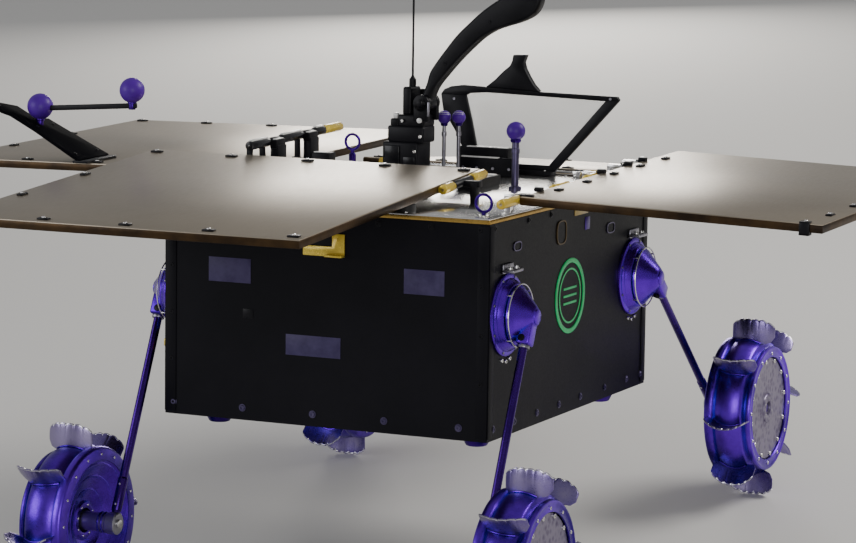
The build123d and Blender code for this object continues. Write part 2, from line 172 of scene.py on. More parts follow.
# pale crown colour: a painted highlight for the glints on the blades' top edges
M_CROWN_HIGHLIGHT = surface("blade_crown_painted_highlight", (0.52, 0.50, 0.60), (0.74, 0.72, 0.78), 0.24, 1.0, 30, 700, bump=0.1)
M_STEEL = surface("bright_steel", (0.66, 0.65, 0.63), (0.82, 0.81, 0.79), 0.20, 1.0, 30, 900, bump=0.08)
M_GREY = surface("grey_metal", (0.26, 0.25, 0.29), (0.42, 0.41, 0.45), 0.36, 1.0, 24, 800, bump=0.15,
                 dirt=(DUST, 0.58, 0.20))
M_POST = surface("dark_post", (0.055, 0.045, 0.10), (0.13, 0.11, 0.20), 0.34, 0.9, 30, 700, bump=0.12)
M_TUBE = surface("leg_tube_metal", (0.030, 0.004, 0.12), (0.080, 0.014, 0.28), 0.26, 1.0, 8, 900,
                 brushed=(1.0, 1.0, 0.08), coat=0.08, coat_rough=0.18)
M_BODY = surface("black_panel", (0.0020, 0.0019, 0.0038), (0.0050, 0.0046, 0.0075), 0.46, 0.0, 7, 520,
                 var=0.08, bump=0.10, dirt=(DUST, 0.66, 0.012), spec=0.16)
M_BLACK = surface("black_fitting", (0.0025, 0.0025, 0.0040), (0.0070, 0.0066, 0.0090), 0.40, 0.0, 30, 700,
                  bump=0.2, spec=0.22)
M_GLOSS = surface("gloss_black", (0.003, 0.003, 0.005), (0.007, 0.007, 0.009), 0.22, 0.0, 30, 400,
                  var=0.06, bump=0.05, coat=0.15, coat_rough=0.12, spec=0.3)
M_RUBBER = surface("rubber", (0.008, 0.008, 0.008), (0.018, 0.017, 0.016), 0.62, 0.0, 40, 500, bump=0.3)
M_DECK = surface("deck_silver", (0.80, 0.79, 0.77), (0.90, 0.89, 0.87), 0.22, 1.0, 3.0, 420,
                 var=0.05, brushed=(1.0, 0.06, 1.0), bump=0.03, dirt=(DUST, 0.70, 0.05))
M_LINE = surface("gold_edge", (0.34, 0.20, 0.045), (0.52, 0.34, 0.09), 0.30, 0.9, 12, 400, bump=0.12)
M_PANEL = surface("panel_face_metal", (0.31, 0.26, 0.195), (0.41, 0.35, 0.27), 0.35, 0.92, 3.2, 620,
                  var=0.06, bump=0.05, brushed=(1.0, 0.10, 1.0), dirt=(DUST, 0.64, 0.10))
M_PANEL_UNDER = surface("panel_underside", (0.040, 0.032, 0.024), (0.075, 0.062, 0.048), 0.46, 0.5, 6, 500,
                        bump=0.12)
M_EDGE = surface("panel_edge_foil", (0.020, 0.011, 0.005), (0.085, 0.046, 0.015), 0.36, 0.7, 14, 300,
                 spread=(0.40, 0.70), bump=0.3)
M_GOLD = surface("yellow_gold", (0.62, 0.42, 0.030), (0.84, 0.62, 0.075), 0.24, 0.35, 28, 500, bump=0.12,
                 coat=0.4, coat_rough=0.12)
M_TAPE = surface("yellow_tape", (0.30, 0.19, 0.03), (0.46, 0.32, 0.06), 0.36, 0.15, 40, 260,
                 bump=0.45, coat=0.3, coat_rough=0.2)
M_GREEN = surface("green_ring", (0.01, 0.62, 0.16), (0.03, 0.80, 0.26), 0.36, 0.0, 30, 500, bump=0.1)
# The violet of the marker balls and of the name plates is painted light: it stands for the violet stage light on them.
M_BALL = surface("violet_ball", (0.055, 0.003, 0.24), (0.088, 0.006, 0.34), 0.42, 0.0, 30, 700, bump=0.06,
                 coat=0.12, coat_rough=0.25, spec=0.3)
M_PALE = surface("pale_label", (0.040, 0.030, 0.085), (0.065, 0.052, 0.125), 0.45, 0.0, 60, 500, bump=0.1, spec=0.25)
M_BROWN = surface("brown_rim", (0.060, 0.036, 0.012), (0.12, 0.075, 0.022), 0.40, 0.6, 30, 500, bump=0.15)
M_MATTE = surface("matte_plate", (0.0020, 0.0020, 0.0032), (0.0045, 0.0044, 0.0060), 0.80, 0.0, 30, 600,
                  bump=0.1, spec=0.03)
# white for painted highlights: small strips, caps and beads that stand for glints on black and violet parts
M_WHITE_HIGHLIGHT = surface("white_painted_highlight", (0.72, 0.71, 0.68), (0.84, 0.83, 0.80), 0.30, 0.1, 40, 500, bump=0.1,
                  coat=0.3)


def pane_material():
    m, nt, b = nodes_of("clear_pane_film")
    tc = nt.nodes.new("ShaderNodeTexCoord").outputs["Object"]
    f = noise_node(nt, tc, 26, 5.0, 0.6)
    c = ramp(nt, f.outputs["Fac"], [(0.30, (0.72, 0.74, 0.73)), (0.70, (0.86, 0.87, 0.86))])
    nt.links.new(c.outputs["Color"], b.inputs["Base Color"])
    r = nt.nodes.new("ShaderNodeMapRange")
    r.inputs["To Min"].default_value = 0.05
    r.inputs["To Max"].default_value = 0.16
    nt.links.new(f.outputs["Fac"], r.inputs["Value"])
    nt.links.new(r.outputs["Result"], b.inputs["Roughness"])
    bp = nt.nodes.new("ShaderNodeBump")
    bp.inputs["Strength"].default_value = 0.35
    bp.inputs["Distance"].default_value = 0.002
    nt.links.new(f.outputs["Fac"], bp.inputs["Height"])
    nt.links.new(bp.outputs["Normal"], b.inputs["Normal"])
    b.inputs["Alpha"].default_value = 0.22
    b.inputs["Specular IOR Level"].default_value = 0.8
    return m


M_PANE = pane_material()


def mottled_disc():
    """Grey cast disc with a fine cell pattern of darker pits."""
    m, nt, b = nodes_of("mottled_disc")
    tc = nt.nodes.new("ShaderNodeTexCoord").outputs["Object"]
    v = nt.nodes.new("ShaderNodeTexVoronoi")
    v.feature = "F1"
    v.inputs["Scale"].default_value = 150
    v.inputs["Randomness"].default_value = 0.75
    nt.links.new(tc, v.inputs["Vector"])
    n = noise_node(nt, tc, 45, 5.0, 0.65)
    add = nt.nodes.new("ShaderNodeMath")
    add.operation = "MULTIPLY_ADD"
    add.inputs[1].default_value = 0.75
    nt.links.new(v.outputs["Distance"], add.inputs[0])
    nt.links.new(n.outputs["Fac"], add.inputs[2])
    # the violet tint in these greys is painted light from the violet stage light
    c = ramp(nt, add.outputs[0], [(0.40, (0.075, 0.055, 0.13)), (0.64, (0.15, 0.12, 0.21)),
                                  (0.95, (0.27, 0.24, 0.33))])
    nt.links.new(c.outputs["Color"], b.inputs["Base Color"])
    r = nt.nodes.new("ShaderNodeMapRange")
    r.inputs["To Min"].default_value = 0.30
    r.inputs["To Max"].default_value = 0.55
    nt.links.new(n.outputs["Fac"], r.inputs["Value"])
    nt.links.new(r.outputs["Result"], b.inputs["Roughness"])
    bp = nt.nodes.new("ShaderNodeBump")
    bp.inputs["Strength"].default_value = 0.35
    bp.inputs["Distance"].default_value = 0.0012
    nt.links.new(add.outputs[0], bp.inputs["Height"])
    nt.links.new(bp.outputs["Normal"], b.inputs["Normal"])
    b.inputs["Metallic"].default_value = 0.85
    return m


M_DISC = mottled_disc()

# ---------------------------------------------------------------- meshes
class Build:
    """Collects shapes given in a local millimetre frame into one mesh."""

    def __init__(self, name, base=BODY):
        self.name, self.base = name, base
        self.bm = bmesh.new()
        self.mats = []

    def index(self, mat):
        if mat not in self.mats:
            self.mats.append(mat)
        return self.mats.index(mat)

    def take(self, tmp, mat, place=None):
        i = self.index(mat)
        for f in tmp.faces:
            f.material_index = i
            f.smooth = True
        if place is not None:
            tmp.transform(place)
            if place.determinant() < 0:
                bmesh.ops.reverse_faces(tmp, faces=tmp.faces)
        me = bpy.data.meshes.new("t")
        tmp.to_mesh(me)
        tmp.free()
        self.bm.from_mesh(me)
        bpy.data.meshes.remove(me)

    def box(self, x0, x1, y0, y1, z0, z1, mat, b=0.8, seg=2, place=None):
        tmp = bmesh.new()
        bmesh.ops.create_cube(tmp, size=1.0)
        tmp.transform(T((x0 + x1) / 2, (y0 + y1) / 2, (z0 + z1) / 2)
                      @ Matrix.Diagonal((abs(x1 - x0), abs(y1 - y0), abs(z1 - z0), 1)))
        if b > 0:
            lim = 0.45 * min(abs(x1 - x0), abs(y1 - y0), abs(z1 - z0))
            bmesh.ops.bevel(tmp, geom=tmp.edges[:], offset=min(b, lim), segments=seg, profile=0.5,
                            affect="EDGES")
        self.take(tmp, mat, place)

    def rev(self, pts, mat, axis="X", at=(0, 0, 0), seg=64, closed=False, place=None):
        """Revolve (along, radius) points about the axis through at."""
        tmp = bmesh.new()
        rings = []
        for a, r in pts:
            if r < 1e-6:
                rings.append([tmp.verts.new((a, 0, 0))])
            else:
                rings.append([tmp.verts.new((a, r * math.cos(2 * math.pi * k / seg), r * math.sin(2 * math.pi * k / seg)))
                              for k in range(seg)])
        pairs = list(zip(rings, rings[1:])) + ([(rings[-1], rings[0])] if closed else [])
        for p, q in pairs:
            for k in range(seg):
                j = (k + 1) % seg
                if len(p) == 1 and len(q) == 1:
                    continue
                if len(p) == 1:
                    tmp.faces.new((p[0], q[j], q[k]))
                elif len(q) == 1:
                    tmp.faces.new((p[k], p[j], q[0]))
                else:
                    tmp.faces.new((p[k], p[j], q[j], q[k]))
        bmesh.ops.recalc_face_normals(tmp, faces=tmp.faces)
        turn = {"X": Matrix.Identity(4), "Y": R(90, "Z"), "Z": R(-90, "Y")}[axis]
        tmp.transform(T(*at) @ turn)
        self.take(tmp, mat, place)

    def cyl(self, axis, a0, a1, at, r, mat, c=0.5, seg=32, place=None):
        lo, hi = min(a0, a1), max(a0, a1)
        c = min(c, r * 0.45, (hi - lo) * 0.45)
        self.rev([(lo, 0), (lo, r - c), (lo + c * 0.3, r - c * 0.3), (lo + c, r), (hi - c, r), (hi - c * 0.3, r - c * 0.3),
                  (hi, r - c), (hi, 0)], mat, axis, at, seg, place=place)

    def ball(self, at, r, mat, n=24, place=None):
        tmp = bmesh.new()
        bmesh.ops.create_uvsphere(tmp, u_segments=n * 2, v_segments=n, radius=r)
        tmp.transform(T(*at))
        self.take(tmp, mat, place)

    def ring(self, axis, at, r, t, mat, seg=64, n=16, flat=1.0, place=None):
        """A torus of mean radius r and wire radius t."""
        pts = [(t * flat * math.sin(2 * math.pi * k / n), r + t * math.cos(2 * math.pi * k / n)) for k in range(n)]
        self.rev(pts, mat, axis, at, seg, closed=True, place=place)

    def prism(self, pts, plane, t0, t1, mat, b=0.6, seg=2, place=None):
        """Polygon in XZ (extruded in y) or XY (in z) or YZ (in x)."""
        tmp = bmesh.new()
        put = {"XZ": lambda u, v, t: (u, t, v), "XY": lambda u, v, t: (u, v, t), "YZ": lambda u, v, t: (t, u, v)}[plane]
        lo = [tmp.verts.new(put(u, v, t0)) for u, v in pts]
        hi = [tmp.verts.new(put(u, v, t1)) for u, v in pts]
        n = len(pts)
        tmp.faces.new(lo)
        tmp.faces.new(hi)
        for k in range(n):
            tmp.faces.new((lo[k], lo[(k + 1) % n], hi[(k + 1) % n], hi[k]))
        bmesh.ops.recalc_face_normals(tmp, faces=tmp.faces)
        if b > 0:
            bmesh.ops.bevel(tmp, geom=tmp.edges[:], offset=b, segments=seg, profile=0.5, affect="EDGES",
                            clamp_overlap=True)
        self.take(tmp, mat, place)

    def grid(self, pts, mat, closed_u=False, closed_v=False, cap=False, place=None):
        """A surface through rows of points."""
        tmp = bmesh.new()
        vs = [[tmp.verts.new(p) for p in row] for row in pts]
        nu, nv = len(vs), len(vs[0])
        for i in range(nu if closed_u else nu - 1):
            for j in range(nv if closed_v else nv - 1):
                a, b_, c, d = vs[i][j], vs[(i + 1) % nu][j], vs[(i + 1) % nu][(j + 1) % nv], vs[i][(j + 1) % nv]
                if len({a, b_, c, d}) == 4:
                    tmp.faces.new((a, b_, c, d))
        if cap:
            tmp.faces.new(vs[0])
            tmp.faces.new(vs[-1])
        bmesh.ops.recalc_face_normals(tmp, faces=tmp.faces)
        self.take(tmp, mat, place)

    def tube(self, path, section, mat, place=None):
        """Sweep: section(k, t) gives (across, up) offsets at each path point."""
        rows = []
        n = len(path)
        for k, p in enumerate(path):
            p = Vector(p)
            d = (Vector(path[min(k + 1, n - 1)]) - Vector(path[max(k - 1, 0)])).normalized()
            side = Vector((0, 1, 0)) if abs(d.y) < 0.9 else Vector((1, 0, 0))
            upv = d.cross(side).normalized()
            side = upv.cross(d).normalized()
            rows.append([p + side * a + upv * b for a, b in section(k / (n - 1))])
        self.grid(rows, mat, closed_v=True, cap=True, place=place)

    def screw(self, at, normal, mat, r=2.6, h=1.6, washer=True, place=None):
        """Socket cap screw standing on a face; normal is one of X, Y, Z with sign."""
        sgn = -1 if normal[0] == "-" else 1
        ax = normal[-1]
        m = M_BLACK
        pr = [(0, 0), (0, r + 1.2), (0.5, r + 1.2), (0.5, r)] if washer else [(0, 0), (0, r)]
        pr += [(h * 0.75, r), (h, r * 0.86), (h, r * 0.5), (h * 0.45, r * 0.46), (h * 0.45, 0)]
        self.rev([(sgn * a, q) for a, q in pr], mat, ax, at, 24, place=place)

    def done(self, body, replaces=(), sharp=32.0):
        self.bm.transform(self.base)
        if self.base.determinant() < 0:
            bmesh.ops.reverse_faces(self.bm, faces=self.bm.faces)
        lim = math.radians(sharp)
        for e in self.bm.edges:
            if len(e.link_faces) == 2 and e.calc_face_angle(0.0) > lim:
                e.smooth = False
        me = bpy.data.meshes.new(self.name)
        self.bm.to_mesh(me)
        self.bm.free()
        for m in self.mats:
            me.materials.append(m)
        ob = bpy.data.objects.new(self.name, me)
        bpy.context.scene.collection.objects.link(ob)
        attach(ob, body)
        if replaces:
            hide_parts(*replaces)
        return ob


def arc3(p, q, r, n):
    """n+1 points of the circle through three (u, v) points."""
    (x1, y1), (x2, y2), (x3, y3) = p, q, r
    d = 2 * (x1 * (y2 - y3) + x2 * (y3 - y1) + x3 * (y1 - y2))
    ux = ((x1 * x1 + y1 * y1) * (y2 - y3) + (x2 * x2 + y2 * y2) * (y3 - y1) + (x3 * x3 + y3 * y3) * (y1 - y2)) / d
    uy = ((x1 * x1 + y1 * y1) * (x3 - x2) + (x2 * x2 + y2 * y2) * (x1 - x3) + (x3 * x3 + y3 * y3) * (x2 - x1)) / d
    rad = math.hypot(x1 - ux, y1 - uy)
    a0, a1 = math.atan2(y1 - uy, x1 - ux), math.atan2(y3 - uy, x3 - ux)
    am = math.atan2(y2 - uy, x2 - ux)
    if not (min(a0, a1) <= am <= max(a0, a1)):
        if a1 < a0:
            a1 += 2 * math.pi
        else:
            a0 += 2 * math.pi
    return [(ux + rad * math.cos(a0 + (a1 - a0) * k / n), uy + rad * math.sin(a0 + (a1 - a0) * k / n)) for k in range(n + 1)]


# ---------------------------------------------------------------- wheels
A0 = LEG_X + 19.0                 # inboard side of the tread
BX0, BX1 = LEG_X + 25.0, LEG_X + 77.0     # the blades' two sides
BXM, BXH = (BX0 + BX1) / 2, (BX1 - BX0) / 2
SAG = 10.0


def blade_y(u, v):
    """Tangential place of the blade's middle surface."""
    return SAG / 2 - SAG * (1 - u * u) + 1.5 + 3.0 * v * v * (1 - 0.5 * u * u)


def crown(u):
    dome = WHEEL_R - 10.0 * abs(u) ** 3.2
    s = (u + 1) / 2 * 6.0
    f = s - math.floor(s) if s < 6 else 1.0
    return dome - 2.2 * (1 - math.sqrt(max(0.0, 1 - (2 * f - 1) ** 2)))


def foot(x):
    if x < A0 + 45:
        return 76.0
    if x < BX1 - 4:
        return 76.0 + 2.0 * (x - A0 - 45) / (BX1 - 4 - A0 - 45)
    return 78.0 + 6.0 * (x - BX1 + 4) / 4


def add_blade(b, place):
    nu, nv, t = 72, 10, 0.9
    front, back = [], []
    for i in range(nu + 1):
        u = -1 + 2 * i / nu
        x = BXM + BXH * u
        r0, r1 = foot(x), crown(u)
        fr, bk = [], []
        for j in range(nv + 1):
            v = j / nv
            r = r0 + (r1 - r0) * v
            y = blade_y(u, v)
            tt = t * (1.0 if 0.02 < v < 0.97 and abs(u) < 0.985 else 0.55)
            fr.append((x, y - tt, r))
            bk.append((x, y + tt, r))
        front.append(fr)
        back.append(bk)
    b.grid([f + list(reversed(k)) for f, k in zip(front, back)], M_BLADE, closed_v=True, cap=True, place=place)
    # bright line along the crown: a painted highlight for the glints on the blades' scalloped edges
    path = [(BXM + BXH * u * 0.96, blade_y(u * 0.96, 0.985), crown(u * 0.96) - 1.1) for u in
            [-1 + 2 * i / 72 for i in range(73)]]
    b.tube(path, lambda s: [(1.05 * math.cos(k * math.pi / 3), 1.0 * math.sin(k * math.pi / 3)) for k in range(6)],
           M_CROWN_HIGHLIGHT, place=place)
    # weld bead along the root
    for sgn in (-1, 1):
        path = []
        for i in range(0, 41):
            x = A0 + 12.5 + (A0 + 43.5 - A0 - 12.5) * i / 40
            u = (x - BXM) / BXH
            q = (x - A0 - 28) / 16
            path.append((x, blade_y(max(u, -1), 0.1) + sgn * 1.5, 77.7 + 4.4 * (1 - q * q)))
        b.tube(path, lambda s: [(0.9 * math.cos(k * math.pi / 4), 0.9 * math.sin(k * math.pi / 4)) for k in range(8)],
               M_TREAD, place=place)


RIM = ([(A0, 77.0), (A0 + 0.5, 78.6), (A0 + 1.6, 79.7), (A0 + 3.2, 80.2), (A0 + 6, 80.4), (A0 + 8.8, 80.1),
        (A0 + 10.4, 79.3), (A0 + 11.2, 78.0), (A0 + 11.9, 77.0), (A0 + 12.7, 77.6)]
       + arc3((A0 + 13.2, 78.0), (A0 + 28, 82.0), (A0 + 43.2, 77.7), 16)
       + [(A0 + 44, 76.8), (A0 + 45.2, 73.6), (A0 + 46.2, 71.0), (A0 + 46.9, 70.4), (A0 + 47.6, 70.9), (A0 + 48.6, 72.2),
          (A0 + 50, 72.7), (A0 + 52, 72.6), (A0 + 53.4, 71.9), (A0 + 54, 70.6), (A0 + 53.9, 69.2), (A0 + 53.2, 68.0),
          (A0 + 52.8, 66.5), (A0 + 52.8, 62.3), (A0 + 53.2, 61.3), (A0 + 53.2, 60.4), (A0 + 52.4, 59.9), (A0 + 51, 59.9),
          (A0 + 50.9, 66.8), (A0 + 49.8, 67.5), (A0 + 43.4, 67.8), (A0 + 42.4, 72.6)]
       + arc3((A0 + 42, 73.2), (A0 + 28, 77.4), (A0 + 13, 73.6), 8)
       + [(A0 + 11, 75.2), (A0 + 4, 75.6), (A0 + 3.2, 74.8), (A0 + 3, 66.0), (A0, 66.0)])


def add_rim(b):
    """Rim of revolution whose tread bulges a little between the blades."""
    seg = 384
    rows = []
    for x, r in RIM:
        row = []
        for k in range(seg):
            th = 2 * math.pi * k / seg
            rr = r
            if r > 73.9 and A0 + 12.5 < x < A0 + 44.5:
                off = blade_y(min(max((x - BXM) / BXH, -1), 1), 0.0) / 78.0
                ph = ((th - off) / (math.pi / 4)) % 1.0
                e = abs(2 * ph - 1)
                rr = r - 0.9 * e ** 8
            row.append((x, rr * math.sin(th), rr * math.cos(th)))
        rows.append(row)
    b.grid(rows, M_TREAD, closed_u=True, closed_v=True)


def wheel(name, s, sy, ang):
    wy = sy + LEG_L * math.sin(math.radians(ang))
    wz = SH_Z - LEG_L * math.cos(math.radians(ang))
    at = T(SHIFT_X / 1000, (wy * cp + wz * sp + SHIFT_Y) / 1000, (wz * cp - wy * sp + LIFT) / 1000)
    base = at @ Matrix.Diagonal((s * 0.001, 0.001, 0.001, 1.0))
    body = "wheel_" + name + "_body"
    b = Build("wheel_rim_" + name, base)
    add_rim(b)
    for k in range(8):
        add_blade(b, R(-45.0 * k, "X"))
    # small bolts in the inboard lip and the outboard ring
    for k in range(16):
        a = math.radians(22.5 * k + 11.25)
        b.screw((A0 + 0.1, 72.0 * math.sin(a), 72.0 * math.cos(a)), "-X", M_STEEL, r=1.5, h=1.0, washer=False)
    for k in range(12):
        a = math.radians(30.0 * k + 8)
        b.screw((A0 + 52.8, 64.4 * math.sin(a), 64.4 * math.cos(a)), "X", M_STEEL, r=1.9, h=1.3, washer=False)
    b.done(body, ["wheel_" + name])

    b = Build("wheel_disc_" + name, base)
    xf = A0 + 50.5
    b.rev([(xf - 3, 7.0), (xf - 3, 59.6), (xf - 0.8, 59.6), (xf, 58.8), (xf - 0.3, 55.0), (xf - 0.9, 44), (xf - 1.2, 30),
           (xf - 0.7, 20), (xf, 17.4), (xf + 1.2, 16.6), (xf + 1.6, 15.0), (xf + 1.8, 9.4), (xf + 1.2, 8.2),
           (xf - 2, 7.6), (xf - 12, 7.0)], M_DISC, seg=128, closed=True)
    for k in range(12):
        a = math.radians(30.0 * k - 5)
        b.screw((xf - 0.4, 56.4 * math.sin(a), 56.4 * math.cos(a)), "X", M_STEEL, r=2.6, h=1.9, washer=False)
    for k in range(6):
        a = math.radians(60.0 * k)
        b.screw((xf + 0.9, 12.4 * math.sin(a), 12.4 * math.cos(a)), "X", M_GREY, r=1.3, h=1.0, washer=False)
    b.rev([(xf - 20, 6.5), (xf - 20, 13.6), (xf - 3.2, 13.6), (xf - 3.2, 6.5)], M_GREY, seg=48, closed=True)
    b.done(body, ["hub_disc_" + name])

    b = Build("wheel_dish_" + name, base)
    b.rev([(A0 + 0.6, 65.7), (A0 + 1.6, 64.4), (A0 + 2.4, 63.4), (A0 + 2.0, 61.8), (A0 + 2.6, 60.2), (A0 + 4.2, 58.8),
           (A0 + 8.6, 49.5), (A0 + 8.2, 48.2), (A0 + 9.0, 46.9), (A0 + 10.0, 46.2), (A0 + 14.2, 34.5), (A0 + 13.8, 33.2),
           (A0 + 14.8, 32.0), (A0 + 17.8, 22.0), (A0 + 17.2, 20.2), (A0 + 15.6, 18.8), (A0 + 15.2, 14.6), (A0 + 15.8, 13.3),
           (A0 + 24, 13.2), (A0 + 24, 20), (A0 + 19, 20.4), (A0 + 4, 65.7)], M_VIOLET_LIT_METAL, seg=128, closed=True)
    for k in range(8):
        a = math.radians(45.0 * k + 22.5)
        b.screw((A0 + 15.4, 16.6 * math.sin(a), 16.6 * math.cos(a)), "-X", M_STEEL, r=1.2, h=0.9, washer=False)
    b.done(body, ["hub_dish_" + name])


for c in CORNERS:
    wheel(*c)

# ---------------------------------------------------------------- legs
b = Build("shoulder_motors")
for name, s, sy, ang in CORNERS:
    m = T(0, sy, SH_Z) @ Matrix.Diagonal((s, 1, 1, 1))
    b.rev([(hx + 0.1, 12), (hx + 0.1, 43.0), (hx + 2.2, 43.0), (hx + 3.0, 42.4), (hx + 3.4, 41.4), (hx + 3.5, 38.6),
           (hx + 4.2, 38.0), (hx + 5.2, 37.6), (hx + 6.0, 36.7), (hx + 6.4, 36.9), (hx + 10.6, 34.2), (hx + 11.6, 33.2),
           (hx + 12, 32.0), (hx + 12, 12)], M_VIOLET_LIT_METAL, seg=96, closed=True, place=m)
    for k in range(8):
        a = math.radians(45 * k + 20)
        b.screw((hx + 3.3, 40.4 * math.sin(a), 40.4 * math.cos(a)), "X", M_GREY, r=1.5, h=1.2, washer=False, place=m)
    # thin wire ring round the foot of the cone, on four stubs
    b.ring("X", (hx + 16.8, 0, 0), 33.0, 0.8, M_STEEL, seg=96, n=8, place=m)
    for k in range(4):
        a = math.radians(90 * k + 45)
        b.cyl("X", hx + 10, hx + 16.9, (0, 33.0 * math.cos(a), 33.0 * math.sin(a)), 0.9, M_STEEL, c=0.2, seg=12, place=m)
b.done("chassis", ["shoulder_housings"])

for name, s, sy, ang in CORNERS:
    base = BODY @ T(0, sy, SH_Z) @ R(ang, "X") @ Matrix.Diagonal((s, 1, 1, 1))
    b = Build("leg_hub_" + name, base)
    c0 = hx + 12.5
    b.rev([(c0, 0), (c0, 29.9), (c0 + 0.5, 31.1), (c0 + 1.4, 31.5), (c0 + 2.6, 31.0), (c0 + 3.2, 29.8), (c0 + 20.4, 11.6),
           (c0 + 21.2, 10.4), (c0 + 22, 9.1), (c0 + 22.2, 8.5), (c0 + 23.3, 8.2), (c0 + 24, 7.0), (c0 + 24, 0)],
          M_VIOLET_LIT_METAL, seg=96)
    b.box(LEG_X - 7, LEG_X + 8, -8, 8, -31, -6, M_VIOLET_LIT_METAL, b=2.4, seg=3)
    b.cyl("Y", -8.6, 8.6, (LEG_X - 1.0, 0, -25), 2.4, M_STEEL, seg=20)
    b.cyl("Y", -9.2, -8.0, (LEG_X - 1.0, 0, -25), 3.8, M_BLACK, seg=24)
    b.cyl("Z", -34.5, -31, (LEG_X, 0, 0), 6.6, M_GREY, seg=32)
    b.done("leg_" + name, ["leg_cone_" + name])

    b = Build("leg_rod_" + name, base)
    pts = [(-LEG_L + 6.2, 0), (-LEG_L + 6.2, 4.4), (-LEG_L + 13.6, 4.5), (-LEG_L + 13.7, 5.2), (-LEG_L + 14.4, 5.4),
           (-LEG_L + 48.0, 5.4), (-LEG_L + 49.6, 5.1), (-LEG_L + 50.4, 4.5), (-14.2, 4.5), (-14.2, 0)]
    b.rev(pts, M_TUBE, "Z", (LEG_X, 0, 0), 40)
    for z in (-LEG_L + 20, -LEG_L + 42):
        b.cyl("Y", -5.9, 5.9, (LEG_X, 0, z), 1.4, M_STEEL, seg=16)
    b.done("leg_" + name, ["leg_tube_" + name])

    b = Build("leg_axle_" + name, base @ T(0, 0, -LEG_L))
    b.rev([(LEG_X - 6, 0), (LEG_X - 6, 10.6), (LEG_X - 5, 11.8), (LEG_X + 5, 11.8), (LEG_X + 6, 11), (LEG_X + 6.2, 10.3),
           (A0 + 14, 10.3), (A0 + 24.6, 10.3), (A0 + 25, 6), (A0 + 48.6, 5.9), (A0 + 49.4, 5.0), (A0 + 49.4, 0)],
          M_GREY, seg=48)
    b.ring("X", (LEG_X + 9.5, 0, 0), 10.6, 1.1, M_VIOLET_LIT_METAL)
    b.ring("X", (LEG_X + 14.0, 0, 0), 10.6, 1.1, M_VIOLET_LIT_METAL)
    b.cyl("X", LEG_X - 8.2, LEG_X - 5.8, (0, 0, 0), 4.6, M_STEEL, seg=24)
    b.cyl("X", A0 + 47.2, A0 + 49.6, (0, 0, 0), 5.6, M_VIOLET_DK, c=1.0, seg=32)
    b.done("leg_" + name, ["stub_axle_" + name])

# ---------------------------------------------------------------- box body
def paint(names, mat):
    for n in names:
        me = N[n].data
        me.materials.clear()
        me.materials.append(mat)


paint(["front_wall", "rear_wall", "left_wall", "right_wall", "floor_plate"], M_BODY)
paint(["battery_block"], M_BLACK)

b = Build("deck_skin")
b.box(-hx, hx, -hy, hy, BH - 5.9, BH - 1.6, M_LINE, b=0.7)
b.box(-hx + 1.2, hx - 1.2, -hy + 1.2, hy - 1.2, BH - 2.2, BH, M_DECK, b=0.6)
for k in range(9):
    x = -hx + 8 + k * (BW - 16) / 8
    for y in (-hy + 7, hy - 7):
        b.screw((x, y, BH - 0.1), "Z", M_STEEL, r=1.9, h=1.1, washer=False)
for k in range(1, 10):
    y = -hy + 7 + k * (BD - 14) / 10
    for x in (-hx + 7, hx - 7):
        b.screw((x, y, BH - 0.1), "Z", M_STEEL, r=1.9, h=1.1, washer=False)
b.done("chassis", ["deck_plate"])

b = Build("wall_trim")
g = 0.05
# screws: front face, right face, left face, rear face
for x in (-178, -95, -12, 71, 156):
    b.screw((x, -hy - g, 13), "-Y", M_POST, r=2.8, h=1.6)
for x in (-178, -118, -58, 62, 122, 178):
    b.screw((x, -hy - g, 219), "-Y", M_BLACK, r=2.6, h=1.5)
for z in (60, 110, 160):
    for x in (-180, 180):
        b.screw((x, -hy - g, z), "-Y", M_BLACK, r=2.4, h=1.4)
for y in (-205, -150, -90, -30, 30, 100, 165, 207):
    b.screw((hx + g, y, 12), "X", M_POST, r=2.8, h=1.6)
    b.screw((-hx - g, y, 12), "-X", M_BLACK, r=2.8, h=1.6)
for y in (-207, -120, -60, 60, 130, 207):
    b.screw((hx + g, y, 220), "X", M_BLACK, r=2.4, h=1.4)
    b.screw((-hx - g, y, 220), "-X", M_BLACK, r=2.4, h=1.4)
for x in (-178, -95, -12, 71, 156):
    b.screw((x, hy + g, 13), "Y", M_BLACK, r=2.8, h=1.6)
    b.screw((x, hy + g, 219), "Y", M_BLACK, r=2.6, h=1.5)
# thin cover strips along the vertical corners and a raised panel on the rear face
for sx in (-1, 1):
    for sy_ in (-1, 1):
        b.box(sx * (hx - 13), sx * (hx - 0.2), sy_ * (hy + 0.1), sy_ * (hy + 0.9), 3, BH - 8, M_BODY, b=0.3)
        b.box(sx * (hx + 0.1), sx * (hx + 0.9), sy_ * (hy - 13), sy_ * (hy - 0.2), 3, BH - 8, M_BODY, b=0.3)
b.box(-150, 150, hy + 0.1, hy + 1.6, 34, 190, M_BODY, b=0.8)
for x, z in ((-140, 44), (140, 44), (-140, 180), (140, 180)):
    b.screw((x, hy + 1.5, z), "Y", M_BLACK, r=2.6, h=1.5)


def slotted(bb, y, z, w, h, rim, mat_rim, fill):
    """Rounded window on the right wall with a raised rim."""
    n = 40
    outer, inner = [], []
    for k in range(n):
        a = 2 * math.pi * k / n
        ex = 0.62
        cy = math.copysign(abs(math.cos(a)) ** ex, math.cos(a))
        cz = math.copysign(abs(math.sin(a)) ** ex, math.sin(a))
        outer.append((y + cy * w / 2, z + cz * h / 2))
        inner.append((y + cy * (w / 2 - rim), z + cz * (h / 2 - rim)))
    bb.prism(inner, "YZ", hx + 0.05, hx + 0.5, fill, b=0)
    rows = [[(hx + 0.05, p, q) for p, q in outer], [(hx + 1.3, p, q) for p, q in outer],
            [(hx + 1.3, p, q) for p, q in inner], [(hx + 0.3, p, q) for p, q in inner]]
    bb.grid(rows, mat_rim, closed_v=True)


